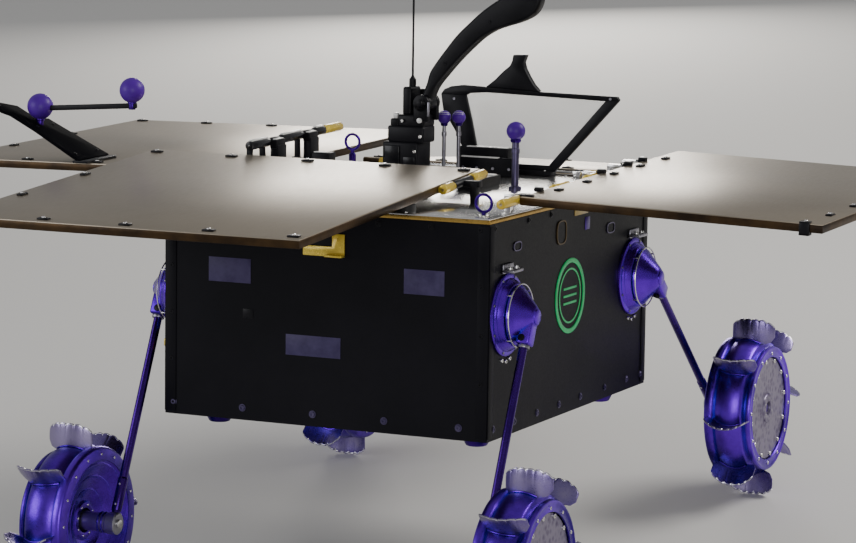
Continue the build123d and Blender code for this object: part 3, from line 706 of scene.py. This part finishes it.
slotted(b, -32, 198, 26, 26, 1.4, M_BROWN, M_BODY)
slotted(b, -150, 196, 20, 10, 1.2, M_POST, M_BODY)
slotted(b, 108, 189, 22, 12, 1.2, M_POST, M_BODY)
b.box(hx + 0.05, hx + 0.5, 34, 48, 194, 208, M_VIOLET_DK, b=0.2)
b.box(hx + 0.05, hx + 0.6, 4, 42, 212, 223, M_TAPE, b=0.25)
# small yellow stub on the left wall
b.box(-hx - 5, -hx - 0.1, -hy + 5, -hy + 15, 71, 79, M_GOLD, b=0.8)
# small brackets over the two shoulders of the right side, and the bolts below them
for y in (-176, 176):
    b.box(hx + 0.1, hx + 14, y - 14, y + 12, 172.6, 176.0, M_GREY, b=0.8)
    b.box(hx + 0.1, hx + 3, y - 14, y + 12, 171.2, 181, M_GREY, b=0.8)
    for dy in (-9, 7):
        b.screw((hx + 8, y + dy, 176), "Z", M_STEEL, r=2.4, h=2.6)
    for dy, z in ((-12, 81), (-2, 79), (8, 81)):
        b.screw((hx + 0.1, y + dy, z), "X", M_STEEL, r=2.2, h=2.4, washer=False)
# a black plate standing for the painted shade of a recess, and blank name plates on the front
b.box(-95, -83, -hy - 0.5, -hy - 0.05, 109, 119, M_BLACK, b=0.2)
b.box(-136, -86, -hy - 0.5, -hy - 0.05, 146, 172, M_PALE, b=0.25)
b.box(92, 138, -hy - 0.5, -hy - 0.05, 148, 174, M_PALE, b=0.25)
b.box(-44, 20, -hy - 0.5, -hy - 0.05, 74, 96, M_PALE, b=0.25)
b.done("chassis")

b = Build("side_emblem")
b.rev([(hx + 0.1, 35.6), (hx + 0.1, 40.8), (hx + 0.9, 40.8), (hx + 1.2, 40.2), (hx + 1.2, 36.2), (hx + 0.9, 35.6)],
      M_GREEN, at=(0, -5, 127), seg=96, closed=True)
b.rev([(hx + 0.1, 28.0), (hx + 0.1, 30.0), (hx + 0.6, 30.0), (hx + 0.6, 28.0)], M_GREEN, at=(0, -5, 127), seg=96, closed=True)
for k in range(3):
    b.box(hx + 0.1, hx + 0.6, -23, 13, 118 + k * 8, 120.5 + k * 8, M_GREEN, b=0.15)
b.done("chassis", ["emblem_ring"])

b = Build("front_bracket")
b.prism([(-24, 181), (24, 181), (24, 205), (9.7, 205), (9.7, 191.5), (-24, 191.5)], "XZ", -hy - 2.1, -hy - 0.1, M_GOLD, b=0.4)
b.box(4, 24, -hy - 9, -hy - 0.1, 181, 183.4, M_GOLD, b=0.6)
b.box(-12, 9.6, -hy - 0.6, -hy - 0.05, 191.6, 205, M_BLACK, b=0.15)
b.screw((17, -hy - 2.0, 199), "-Y", M_GOLD, r=1.6, h=1.0, washer=False)
b.done("chassis", ["front_tab"])

b = Build("under_feet")
for x, y in ((-135, -196), (166, -196), (-150, 185), (172, 125)):
    b.rev([(-8, 0), (-8, 9.6), (-7.4, 11.0), (-6.2, 11.8), (-1.4, 14.2), (-0.2, 14.4), (-0.1, 0)], M_VIOLET_DK, "Z",
          (x, y, 0), 48)
b.done("chassis", ["floor_pads"])

# ---------------------------------------------------------------- panels
PAN_T = 9.0
PANELS = {
    "front": (97.0, -40.0, 262.0, 4.3, 0.0, (-401.0, 0.0), (-430.0, 0.0)),
    "right": (202.0, -178.0, 251.0, 1.28, 1.63, (0.0, 326.0), (0.0, 453.0)),
    "left": (-192.0, -30.0, 243.0, 1.28, -0.9, (-396.5, 0.0), (0.0, 453.0)),
    "rear": (0.0, 230.0, 238.0, -4.8, 0.0, (-175.0, 175.0), (0.0, 408.0)),
}
# side of the hinge line, its height over the plate, barrels, knuckles, knuckle width, straps
HINGES = {
    "front": ("+x", -4.5, ((-110.0, -85.0), (-37.0, -4.0)), (-61.0,), 44.0,
              ((-110.0, -85.0), (-37.0, -4.0))),
    "right": ("-x", -4.5, ((-37.0, 7.0), (100.0, 140.0), (190.0, 218.0)), (28.0, 239.0, 312.0, 357.0), 14.0,
              ((0.0, 7.0), (100.0, 140.0), (190.0, 218.0))),
    "left": ("+x", 28.0, ((-3.0, 42.0), (73.0, 125.0), (156.0, 224.0)), (57.5, 139.0), 22.0,
             ((2.0, 40.0), (119.0, 125.0), (156.0, 162.0))),
    "rear": ("-y", -4.5, ((-150.0, -115.0), (115.0, 150.0)), (-105.0, 105.0), 14.0,
             ((-150.0, -115.0), (115.0, 150.0))),
}
FEET = {"front": (20.0, 8.0, 8.0), "right": (24.0, 8.0, 8.0), "left": (10.0, 10.0, 21.0), "rear": (17.0, 8.0, 8.0)}
# clips on each panel, as (x, y, way it lies) from the corner
CLIPS = {
    "front": [(-12.6 - 93.8 * k, y, "X") for k in range(5) for y in (-16.4, -416.0)]
             + [(-389.0, -301.0, "Y"), (-389.0, -172.0, "Y")],
    "right": [(x, 68.0 + 77.0 * k, "Y") for k in range(5) for x in (15.0, 311.0)] + [(6.0, 7.0, "X"), (320.0, 445.0, "X")],
    "left": [(-14.0 - 92.0 * k, y, "X") for k in range(5) for y in (12.0, 441.0)]
            + [(-384.5, 136.0, "Y"), (-384.5, 272.0, "Y")],
    "rear": [(-160.0 + 80.0 * k, y, "X") for k in range(5) for y in (14.0, 396.0)],
}


def panel_base(n):
    x, y, z, rx, ry, _, _ = PANELS[n]
    return BODY @ T(x, y, z) @ R(rx, "X") @ R(ry, "Y")


def add_clip(b, x, y, along="X"):
    """Low black clip with a bright screw, standing on the panel."""
    w, d = (6.5, 3.6) if along == "X" else (3.6, 6.5)
    b.box(x - w, x + w, y - d, y + d, -0.1, 1.8, M_BLACK, b=0.8)
    b.cyl("Z", 1.7, 2.9, (x, y, 0), 2.3, M_STEEL, c=0.4, seg=20)


for n, (px_, py_, pz_, rx_, ry_, ex, ey) in PANELS.items():
    b = Build("array_" + n, panel_base(n))
    x0, x1, y0, y1 = ex[0], ex[1], ey[0], ey[1]
    b.box(x0, x1, y0, y1, -PAN_T, -0.9, M_EDGE, b=0.9, seg=2)
    b.box(x0 + 0.8, x1 - 0.8, y0 + 0.8, y1 - 0.8, -1.6, 0.0, M_PANEL, b=0.45, seg=2)
    b.box(x0 + 6, x1 - 6, y0 + 6, y1 - 6, -PAN_T - 0.35, -PAN_T + 0.5, M_PANEL_UNDER, b=0.3)
    # underside frame: two long and three cross stiffeners, shallow
    for k in (0.2, 0.5, 0.8):
        xm = x0 + (x1 - x0) * k
        b.box(xm - 5, xm + 5, y0 + 10, y1 - 10, -PAN_T - 1.0, -PAN_T, M_PANEL_UNDER, b=0.5)
    for k in (0.25, 0.75):
        ym = y0 + (y1 - y0) * k
        b.box(x0 + 10, x1 - 10, ym - 5, ym + 5, -PAN_T - 1.0, -PAN_T, M_PANEL_UNDER, b=0.5)
    for x, y, way in CLIPS[n]:
        add_clip(b, x, y, way)
    if n == "front":
        # a black knob near the left edge
        b.rev([(0, 0), (0, 9), (8, 10), (12, 9), (14, 5), (14.4, 0)], M_BLACK, "Z", (x0 + 10, -404, -0.1), 40)
        b.rev([(0, 0), (0, 6), (6, 7), (9, 5), (10, 0)], M_GLOSS, "Z", (x0 + 12, -378, -0.1), 32)
    if n == "right":
        b.box(-9.5, 1.5, 9.0, 20.0, -9.0, 0.6, M_BLACK, b=0.8)
        # small clips along the hinge edge, each with a white strip on top as a painted highlight
        for y in (49.0, 221.0, 299.0, 343.0):
            b.box(-4, 5, y - 3.5, y + 3.5, -0.6, 4.0, M_BLACK, b=0.7)
            b.box(-3, 4, y - 2.6, y + 2.6, 3.8, 4.9, M_WHITE_HIGHLIGHT, b=0.4)
    b.done("solar_panel_" + n + "_body", ["solar_panel_" + n])

    side, lz, bars, knobs, kw, straps = HINGES[n]
    off = {"+x": (5.0, 0), "-x": (-5.0, 0), "-y": (0, -5.0)}[side]
    ax = "X" if side == "-y" else "Y"
    lo = min([q[0] for q in bars] + [k - kw / 2 for k in knobs])
    hi = max([q[1] for q in bars] + [k + kw / 2 for k in knobs])
    at = (0, off[1], lz) if ax == "X" else (off[0], 0, lz)
    b = Build("hinge_" + n, panel_base(n))
    b.cyl(ax, lo, hi, at, 2.15, M_STEEL, seg=24)
    for i, (q0, q1) in enumerate(bars):
        if n == "left":
            q2 = 180.0 if i == 2 else q1
            b.cyl(ax, q0, q2, at, 5.2, M_GLOSS, c=1.0, seg=10)
            # white strip along the bar's top: a painted highlight
            b.box(off[0] - 2.3, off[0] + 2.3, q0 + 3, q2 - 3, lz + 4.0, lz + 6.3, M_WHITE_HIGHLIGHT, b=0.7)
            if q2 < q1:
                b.cyl(ax, q2, q1, at, 5.2, M_GOLD, c=1.0, seg=10)
        else:
            b.cyl(ax, q0, q1, at, 5.3, M_GOLD, c=1.2, seg=10)
    for q0, q1 in straps:
        if lz > 0:
            # thin webs on a low foot
            for e in ((q0 + 4, q1 - 4) if q1 - q0 > 20 else ((q0 + q1) / 2,)):
                b.box(-2, off[0] - 0.5, e - 2.2, e + 2.2, 0, lz, M_BLACK, b=0.8)
            b.box(-5, off[0], q0, q1, -0.1, 3.0, M_BLACK, b=0.6)
        elif side == "-y":
            b.box(q0, q1, off[1], 0, -7, -2, M_GOLD, b=0.5)
        else:
            b.box(off[0], 0, q0, q1, -7, -2, M_GOLD, b=0.5)
    b.done("solar_panel_" + n + "_body", ["panel_hinge_" + n])

# hinge knuckles and their feet on the deck
b = Build("hinge_stands")
for n, (px_, py_, pz_, rx_, ry_, ex, ey) in PANELS.items():
    side, lz, bars, knobs, kw, straps = HINGES[n]
    off = {"+x": (5.0, 0), "-x": (-5.0, 0), "-y": (0, -5.0)}[side]
    local = T(px_, py_, pz_) @ R(rx_, "X") @ R(ry_, "Y")
    ax = "X" if side == "-y" else "Y"
    at = (0, off[1], lz) if ax == "X" else (off[0], 0, lz)
    foot_mat = M_BLACK if n in ("left", "front") else M_STEEL
    for k in knobs:
        q0, q1 = k - kw / 2, k + kw / 2
        b.cyl(ax, q0, q1, at, 4.3, M_BLACK, c=0.7, seg=36, place=local)
        if side == "-y":
            b.box(q0 + 2, q1 - 2, -21, -5, -6.6, -2, M_STEEL, b=0.7, place=local)
        elif n == "left":
            b.box(5, 14, q0, q1, lz - 8, lz + 2, M_BLACK, b=1.0, place=local)
            # white strip on the block's top: a painted highlight
            b.box(6.5, 12.5, q0 + 2, q1 - 2, lz + 1.6, lz + 3.0, M_WHITE_HIGHLIGHT, b=0.5, place=local)
        elif side == "+x":
            b.box(5, 27, q0 + 18, q1 - 18, -8.5, -2, M_BLACK, b=0.7, place=local)
        else:
            b.box(-28, -5, q0 + 2, q1 - 2, -8.5, -2, M_STEEL, b=0.7, place=local)
            b.box(-12, -7, q0 + 2.5, q1 - 2.5, -2.4, -0.8, M_BLACK, b=0.4, place=local)
        fd, fac, fal = FEET[n]
        cx, cy = (px_ + (fd if side == "+x" else -fd), py_ + k) if side != "-y" else (px_ + k, py_ - fd)
        fw = (fal, fac) if side == "-y" else (fac, fal)
        up = {"front": 0.075 * k, "right": 0.0223 * k, "left": 0.0223 * k + lz, "rear": 0.0}[n]
        b.box(cx - fw[0] / 2, cx + fw[0] / 2, cy - fw[1] / 2, cy + fw[1] / 2, BH - 0.1, pz_ - 4.0 + up, foot_mat, b=0.9)
# small white beads beside the rear lifting ring: painted glints
for x, y in ((-181, 176), (-172, 178), (-184, 187), (-166, 186)):
    b.ball((x, y, BH + 2.2), 2.6, M_WHITE_HIGHLIGHT, 10)
b.done("chassis", ["hinge_blocks"])

b = Build("rest_buffer")
b.rev([(BH - 0.1, 0), (BH - 0.1, 9.4), (BH + 6.0, 9.4), (BH + 7.6, 8.8), (BH + 8.6, 7.0), (BH + 8.8, 0)], M_RUBBER, "Z",
      (86, -202, 0), 48)
b.done("chassis", ["rest_pad"])

b = Build("edge_fitting", panel_base("right"))
b.box(302, 313, -3.2, -0.1, -12, 2, M_BLACK, b=0.8)
b.box(302, 313, -3.2, 6, 0.1, 2, M_BLACK, b=0.6)
b.box(302, 313, -3.2, 6, -12, -9.2, M_BLACK, b=0.6)
b.screw((307.5, 2.5, 1.9), "Z", M_STEEL, r=2.0, h=1.2, washer=False)
b.done("solar_panel_right_body", ["corner_fitting"])

# marker plate on the left panel: foot, plate that leans outwards, rod and two balls
b = Build("marker_boom")
lean = T(-192, -30, 243) @ R(1.28, "X") @ R(-0.9, "Y") @ T(-214, 30, 0.6) @ R(27.0, "Y")
LEANING = ((0, -33), (0, 33), (86, 28.5), (92, 9), (120, 10), (134, -14), (134, -28), (116, -28), (108, -22), (70, -23))
b.prism([(-s, y) for s, y in LEANING], "XY", 0, 4, M_MATTE, b=0.7, place=lean)
for s, y in ((12, -24), (12, 24), (74, -14), (74, 20), (126, -20)):
    b.screw((-s, y, 3.9), "Z", M_BLACK, r=1.8, h=1.2, washer=False, place=lean)
b.box(-222, -202, -3, 63, 0.05, 3, M_BLACK, b=0.7, place=T(-192, -30, 243) @ R(1.28, "X") @ R(-0.9, "Y"))
b.box(-61, 61, -2.5, 2.5, -3, 3, M_BLACK, b=1.2, seg=3, place=T(-410, 0, 301.5) @ R(-4.0, "Y"))
for x, z, r, z0 in ((-476.0, 299.0, 15.0, 276.0), (-355.0, 323.0, 14.4, 301.0)):
    b.cyl("Z", z0, z - r + 1.0, (x, 0, 0), 4.0, M_VIOLET_DK, seg=28)
    b.ball((x, 0, z), r, M_BALL, 28)
    b.cyl("Z", z - r - 1.4, z - r + 1.2, (x, 0, 0), 5.2, M_VIOLET_DK, seg=28)
b.done("solar_panel_left_body", ["marker_bar"])

# ---------------------------------------------------------------- deck items
b = Build("lifting_rings")
for ex_, ey_, ez_ in ((174.0, -205.0, 14.0), (-175.5, 203.0, 26.5)):
    z = BH + ez_
    b.ring("Y", (ex_, ey_, z), 8.9, 1.6, M_VIOLET_DK, seg=64, n=20, flat=1.25)
    zb = max(z - 13.5, BH + 2.0)
    b.rev([(BH - 0.1, 0), (BH - 0.1, 4.2), (zb - 0.8, 4.2), (zb, 3.4), (zb + 0.8, 2.4), (z - 9.6, 2.2),
           (z - 9.6, 0)], M_VIOLET_DK, "Z", (ex_, ey_, 0), 32)
    b.ring("Z", (ex_, ey_, BH + 1.0), 4.6, 1.2, M_STEEL)
b.done("chassis", ["lifting_eyes"])

b = Build("electronics_box")
b.box(-22, 45, 166, 180, BH - 0.1, 252, M_BLACK, b=1.6, seg=3)
b.box(-30, 32, 180, 197, BH - 0.1, 262, M_BLACK, b=1.4, seg=3)
# white strips on the box tops: painted highlights
b.box(-20, 26, 166.5, 172, 251.4, 252.9, M_WHITE_HIGHLIGHT, b=0.5)
b.box(-20, 30, 181, 188, 261.6, 262.9, M_WHITE_HIGHLIGHT, b=0.5)
b.box(30, 44, 166.5, 171, 251.6, 252.8, M_GLOSS, b=0.4)
for x in (-17, 0, 20, 40):
    b.screw((x, 165.9, 240), "-Y", M_GREY, r=1.6, h=1.0, washer=False)
b.box(44, 66, 16, 84, BH - 0.1, 243, M_BLACK, b=1.2, seg=3)
# white strip on this box top: a painted highlight
b.box(47, 63, 70, 80, 242.6, 243.9, M_WHITE_HIGHLIGHT, b=0.5)
b.box(50, 60, 19, 26, 242.6, 243.7, M_GREY, b=0.4)
b.box(-176, -154, 97, 116, BH - 0.1, 254, M_BLACK, b=1.4, seg=3)
# white strip on this box top: a painted highlight
b.box(-174, -156, 98.5, 106, 253.6, 254.9, M_WHITE_HIGHLIGHT, b=0.5)
b.done("chassis", ["equipment_box"])

b = Build("marker_stems")
MARKERS = ((-34.0, 150.0, 66.0, 7.8, 2.2), (-16.0, 150.0, 67.0, 7.8, 2.2), (98.0, 50.0, 64.7, 10.4, 4.0))
for x, y, h, r, pr in MARKERS:
    zt = BH + h - r
    b.rev([(BH - 0.1, 0), (BH - 0.1, pr + 3), (BH + 3.4, pr + 3), (BH + 4, pr + 2.2), (BH + 4.4, pr), (zt - 14, pr),
           (zt - 13.6, pr + 0.7), (zt - 9, pr + 0.7), (zt - 8.4, pr), (zt + 0.7, pr), (zt + 0.7, 0)],
          M_GREY if pr < 3 else M_POST, "Z", (x, y, 0), 32)
b.done("chassis", ["marker_posts"])
b = Build("marker_spheres")
for x, y, h, r, pr in MARKERS:
    b.ball((x, y, BH + h), r, M_BALL, 24)
    b.rev([(BH + h - r - 2.0, 0), (BH + h - r - 2.0, pr + 1.4), (BH + h - r + 0.8, pr + 2.2), (BH + h - r + 1.6, pr + 1.0),
           (BH + h - r + 1.6, 0)], M_VIOLET_DK, "Z", (x, y, 0), 28)
    # white caps on the two small balls are painted highlights; the large ball's cap stays violet
    b.rev([(BH + h + r * 0.50, 0), (BH + h + r * 0.50, r * 0.872), (BH + h + r * 0.75, r * 0.668), (BH + h + r * 0.93, r * 0.375),
           (BH + h + r * 1.004, 0)], M_WHITE_HIGHLIGHT if pr < 3 else M_BALL, "Z", (x, y, 0), 32)
b.done("chassis", ["marker_balls"])

# mast mount: stacked blocks, a fork for the arm and small boxes round it
AX, AY, AZ = -38.0, 110.0, 316.0
MOUNT = (
    (-84, -40, 18, BH - 0.1, 272),
    (-79, -34, 16, 271, 290),
    (-67, -34, 15, 289, 303),
    (-62, -51, 13, 302, 334),
)
b = Build("mast_base")
for x0, x1, half, z0, z1 in MOUNT:
    b.box(x0, x1, AY - half, AY + half, z0, z1, M_BLACK, b=2.6, seg=3)
for s in (-1, 1):
    y0, y1 = AY + s * 9.6, AY + s * 15.6
    b.box(-47.4, AX + 9, y0, y1, 296, AZ, M_BLACK, b=1.4, seg=3)
    b.cyl("Y", y0, y1, (AX, 0, AZ), 10, M_BLACK, c=1.0, seg=48)
    b.cyl("Y", y1 - s * 0.2, y1 + s * 2.4, (AX, 0, AZ), 6.0, M_BLACK, c=0.6, seg=6)
b.box(-66, -45.5, AY + 15.6, AY + 26.6, 296, 330, M_BLACK, b=2.4, seg=3)
b.box(-66, -40, AY + 14, AY + 26.6, 290, 300, M_BLACK, b=1.4, seg=3)
b.box(-81, -62, AY - 20, AY - 17, 244, 268, M_GLOSS, b=1.2, seg=3)
b.box(-58, -43, AY - 19.5, AY - 17, 236, 256, M_GLOSS, b=1.0, seg=3)
b.box(-76, -66, AY - 15, AY - 2, 288, 298, M_BLACK, b=2.0, seg=3)
# white cap here and white strip below: painted highlights on the black mount
b.cyl("Z", 297, 304, (-71, AY - 9, 0), 3.2, M_WHITE_HIGHLIGHT, seg=24)
b.box(-83, -70, AY - 20.5, AY - 17.8, 233, 236, M_WHITE_HIGHLIGHT, b=0.6)
for x, z in ((-38, 279), (-44, 262), (-60, 296), (-47, 238)):
    b.screw((x, AY - 17.9 if z < 272 else AY - 15.9, z), "-Y", M_STEEL, r=2.0, h=1.8, washer=False)
# white pin end: a painted highlight
b.cyl("Y", AY - 18.0, AY - 14.6, (-39, 0, 297), 3.0, M_WHITE_HIGHLIGHT, c=0.8, seg=20)
# grey bracket line beside the fork
b.box(-29.5, -27.6, AY - 16.6, AY - 14.0, 302, 318, M_GREY, b=0.5)
b.done("chassis", ["mast_mount"])

# the curved arm: its two outlines in the X-Z plane through the pin
ARM_LO = [(-31.0, 316), (-23.5, 333.6), (-10.9, 349.4), (3.6, 365.5), (18.0, 379.5), (32.5, 392.1), (46.9, 400.7),
          (61.3, 405.9), (75.8, 410.4), (90.1, 416.9), (98.0, 424.4), (102.5, 436.5), (99.0, 449.0)]
ARM_HI = [(-45.0, 316), (-35.9, 337.2), (-32.3, 349.5), (-26.5, 359.2), (-14.9, 374.5), (-0.4, 392.5), (14.1, 406.5),
          (29.9, 420.4), (48.7, 433.7), (66.4, 443.9), (80.3, 450.0)]


def smooth(pts, n):
    """Points along a Catmull-Rom curve."""
    out = []
    p = [(2 * pts[0][0] - pts[1][0], 2 * pts[0][1] - pts[1][1])] + list(pts) + [
        (2 * pts[-1][0] - pts[-2][0], 2 * pts[-1][1] - pts[-2][1])]
    for i in range(1, len(p) - 2):
        for k in range(n):
            t = k / n
            q = []
            for d in (0, 1):
                a, b_, c, e = p[i - 1][d], p[i][d], p[i + 1][d], p[i + 2][d]
                q.append(0.5 * (2 * b_ + (c - a) * t + (2 * a - 5 * b_ + 4 * c - e) * t * t
                                + (3 * b_ - a - 3 * c + e) * t * t * t))
            out.append(tuple(q))
    out.append(tuple(pts[-1]))
    return out


def rounded(w, h, r, n=5):
    pts = []
    for cx, cy, a0 in ((w - r, h - r, 0), (-w + r, h - r, 90), (-w + r, -h + r, 180), (w - r, -h + r, 270)):
        for k in range(n + 1):
            a = math.radians(a0 + 90 * k / n)
            pts.append((cx + r * math.cos(a), cy + r * math.sin(a)))
    return pts


def resample(pts, n):
    """n+1 points at equal steps of length along a polyline."""
    acc = [0.0]
    for p, q in zip(pts, pts[1:]):
        acc.append(acc[-1] + math.hypot(q[0] - p[0], q[1] - p[1]))
    out, i = [], 0
    for k in range(n + 1):
        t = acc[-1] * k / n
        while i < len(pts) - 2 and acc[i + 1] < t:
            i += 1
        f = (t - acc[i]) / (acc[i + 1] - acc[i])
        out.append((pts[i][0] + (pts[i + 1][0] - pts[i][0]) * f, pts[i][1] + (pts[i + 1][1] - pts[i][1]) * f))
    return out


b = Build("mast_boom")
lo_, hi_ = resample(smooth(ARM_LO, 8), 80), resample(smooth(ARM_HI, 8), 80)
rows = []
for (xl, zl), (xh, zh) in zip(lo_, hi_):
    c_, h_ = Vector(((xl + xh) / 2, AY, (zl + zh) / 2)), Vector(((xh - xl) / 2, 0, (zh - zl) / 2))
    half = h_.length
    rows.append([c_ + Vector((0, 1, 0)) * a + h_.normalized() * v for a, v in rounded(9.0, half, min(5.0, half * 0.8))])
b.grid(rows, M_BLACK, closed_v=True, cap=True)
b.cyl("Y", AY - 9, AY + 9, (AX, 0, AZ), 9.5, M_BLACK, c=1.0, seg=48)
b.cyl("Y", AY - 20, AY + 20, (AX, 0, AZ), 4.0, M_BLACK, c=0.8, seg=32)
b.cyl("Z", 436, 452, (90, AY, 0), 10, M_BLACK, c=0.8, seg=40)
for t in (22, 52):
    p, q = lo_[t], hi_[t]
    b.screw(((p[0] + q[0]) / 2, AY - 8.9, (p[1] + q[1]) / 2), "-Y", M_BLACK, r=2.0, h=1.0, washer=False)
b.done("mast_arm_body", ["mast_arm"])

b = Build("mast_camera")
b.box(74, 106, AY - 30, AY + 30, 455, 494, M_BLACK, b=2.4, seg=3)
b.cyl("Z", 452.1, 456, (90, AY, 0), 10, M_GREY, c=0.6, seg=40)
for dy, z, r in ((-16, 474, 11), (15, 474, 11), (0, 462, 4)):
    b.rev([(105.5, 0), (105.5, r), (113.2, r), (114, r - 0.8), (114, r - 2.0), (110.5, r - 2.6), (109.0, 0)], M_BLACK,
          "X", (0, AY + dy, z), 48)
    b.rev([(108.6, 0), (109.2, r * 0.30), (109.0, r * 0.6), (108.4, r * 0.74)], M_GLOSS, "X", (0, AY + dy, z), 40)
for y in (AY - 25, AY + 25):
    for z in (460, 489):
        b.screw((106, y, z), "X", M_STEEL, r=1.8, h=1.2, washer=False)
b.done("mast_arm_body", ["mast_head"])

b = Build("antenna_rod")
b.rev([(334, 0), (334, 4.0), (342, 4.0), (343, 3.0), (345, 1.9), (346, 1.3), (560, 1.1), (560, 0)], M_BLACK, "Z",
      (-55.5, AY, 0), 24)
b.done("chassis", ["whip_antenna"])

# ---------------------------------------------------------------- rear frame
FY = 206.0
b = Build("rear_screen_frame")
outer = [(-63, 319), (-59, 324.4), (-50, 328.2), (-35, 330.3), (-20, 329.8), (60.4, 326.6), (155, 325.1), (157.5, 321),
         (80, 236), (-26, 236), (-33.5, 255), (-45, 278), (-60, 300)]
inner = [(-32, 318.5), (-27, 321.2), (-5, 322.9), (55, 321.6), (140.5, 319.5), (73, 243), (-15, 243), (-19, 265), (-24.5, 290)]
# the loop in four flat pieces that meet on its corners
b.prism([outer[0], outer[1], outer[2], outer[3], outer[4], outer[5], outer[6], outer[7], inner[4], inner[3], inner[2],
         inner[1], inner[0]], "XZ", FY - 3, FY + 3, M_BLACK, b=0.6)
b.prism([outer[0], inner[0], inner[8], inner[7], inner[6], outer[9], outer[10], outer[11], outer[12]], "XZ", FY - 2.9,
        FY + 2.9, M_BLACK, b=0.6)
b.prism([outer[7], outer[8], inner[5], inner[4]], "XZ", FY - 2.8, FY + 2.8, M_BLACK, b=0.6)
b.prism([outer[9], inner[6], inner[5], outer[8]], "XZ", FY - 2.9, FY + 2.9, M_BLACK, b=0.5)
b.box(-22, 78, FY - 8, FY + 8, BH - 0.1, 237, M_BLACK, b=1.0)
for x in (-14, 28, 70):
    b.screw((x, FY - 6.2, 236.9), "Z", M_STEEL, r=1.6, h=1.0, washer=False)
for x, z in ((-46, 314), (147, 322.4)):
    b.screw((x, FY - 2.9, z), "-Y", M_GREY, r=1.6, h=1.0, washer=False)
b.done("chassis", ["rear_frame"])

b = Build("screen_film")
b.prism([(-31.4, 318.2), (-26.7, 320.8), (-5, 322.5), (55, 321.2), (139.4, 319.1), (72.7, 243.4), (-14.7, 243.4),
         (-18.6, 265.1), (-24.1, 290.1)], "XZ", FY - 0.9, FY + 0.9, M_PANE, b=0.3)
b.done("chassis", ["frame_pane"])

b = Build("screen_horn")
b.prism([(-6, 329.5), (60, 326.9), (53, 334), (47, 343), (42, 352), (40, 359), (43.5, 368), (27.5, 367.5), (26, 360),
         (23, 354.4), (15.5, 348.4), (5, 338)], "XZ", FY - 4.8, FY + 4.8, M_BLACK, b=1.0, seg=3)
b.done("chassis", ["frame_horn"])

# ---------------------------------------------------------------- stage
def plain_floor():
    me = bpy.data.meshes.new("studio_floor")
    s = 30.0
    me.from_pydata([(-s, -s, 0), (s, -s, 0), (s, s, 0), (-s, s, 0)], [], [(0, 1, 2, 3)])
    ob = bpy.data.objects.new("studio_floor", me)
    bpy.context.scene.collection.objects.link(ob)
    m, nt, bs = nodes_of("pale_floor")
    bs.inputs["Base Color"].default_value = (0.70, 0.69, 0.67, 1)
    bs.inputs["Roughness"].default_value = 0.85
    me.materials.append(m)


plain_floor()
w = bpy.data.worlds.new("studio")
bpy.context.scene.world = w
w.use_nodes = True
w.node_tree.nodes["Background"].inputs["Color"].default_value = (0.92, 0.93, 0.95, 1)
w.node_tree.nodes["Background"].inputs["Strength"].default_value = 0.36


def area(name, loc, aim, size, power, color=(1, 1, 1)):
    d = bpy.data.lights.new(name, "AREA")
    d.shape = "RECTANGLE"
    d.size, d.size_y = size
    d.energy = power
    d.color = color
    ob = bpy.data.objects.new(name, d)
    bpy.context.scene.collection.objects.link(ob)
    ob.location = loc
    ob.rotation_mode = "QUATERNION"
    ob.rotation_quaternion = (Vector(aim) - Vector(loc)).to_track_quat("-Z", "Y")


area("key", (1.9, 1.6, 2.1), (0.1, 0.0, 0.25), (1.6, 1.2), 62, (1.0, 0.97, 0.93))
area("fill", (-2.2, -2.2, 1.3), (0, 0, 0.2), (2.0, 1.4), 30, (0.95, 0.96, 1.0))
area("front", (1.6, -2.8, 1.0), (0, 0, 0.2), (1.6, 1.0), 20)
area("behind", (-1.50, 3.6, 0.85), (0.05, 0.0, 0.35), (0.9, 1.1), 30, (1.0, 0.96, 0.90))

# ---------------------------------------------------------------- camera
def camera():
    yaw, pit, roll = math.radians(-24.8), math.radians(7.49), math.radians(0.78)
    fwd = Vector((math.sin(yaw) * math.cos(pit), math.cos(yaw) * math.cos(pit), -math.sin(pit)))
    right = Vector((math.cos(yaw), -math.sin(yaw), 0))
    up = right.cross(fwd)
    r = right * math.cos(roll) + up * math.sin(roll)
    u = -right * math.sin(roll) + up * math.cos(roll)
    rot = Matrix((r, u, -fwd)).transposed().to_4x4()
    place = PLACE @ R(-PITCH, "X") @ T(1.613, -3.453, 0.641) @ rot
    cam = bpy.data.cameras.new("camera")
    cam.sensor_fit = "HORIZONTAL"
    cam.sensor_width = 36.0
    cam.lens = 36.0 * 3500 / 856
    cam.clip_start, cam.clip_end = 0.05, 100
    ob = bpy.data.objects.new("camera", cam)
    bpy.context.scene.collection.objects.link(ob)
    ob.matrix_world = place
    bpy.context.scene.camera = ob


camera()
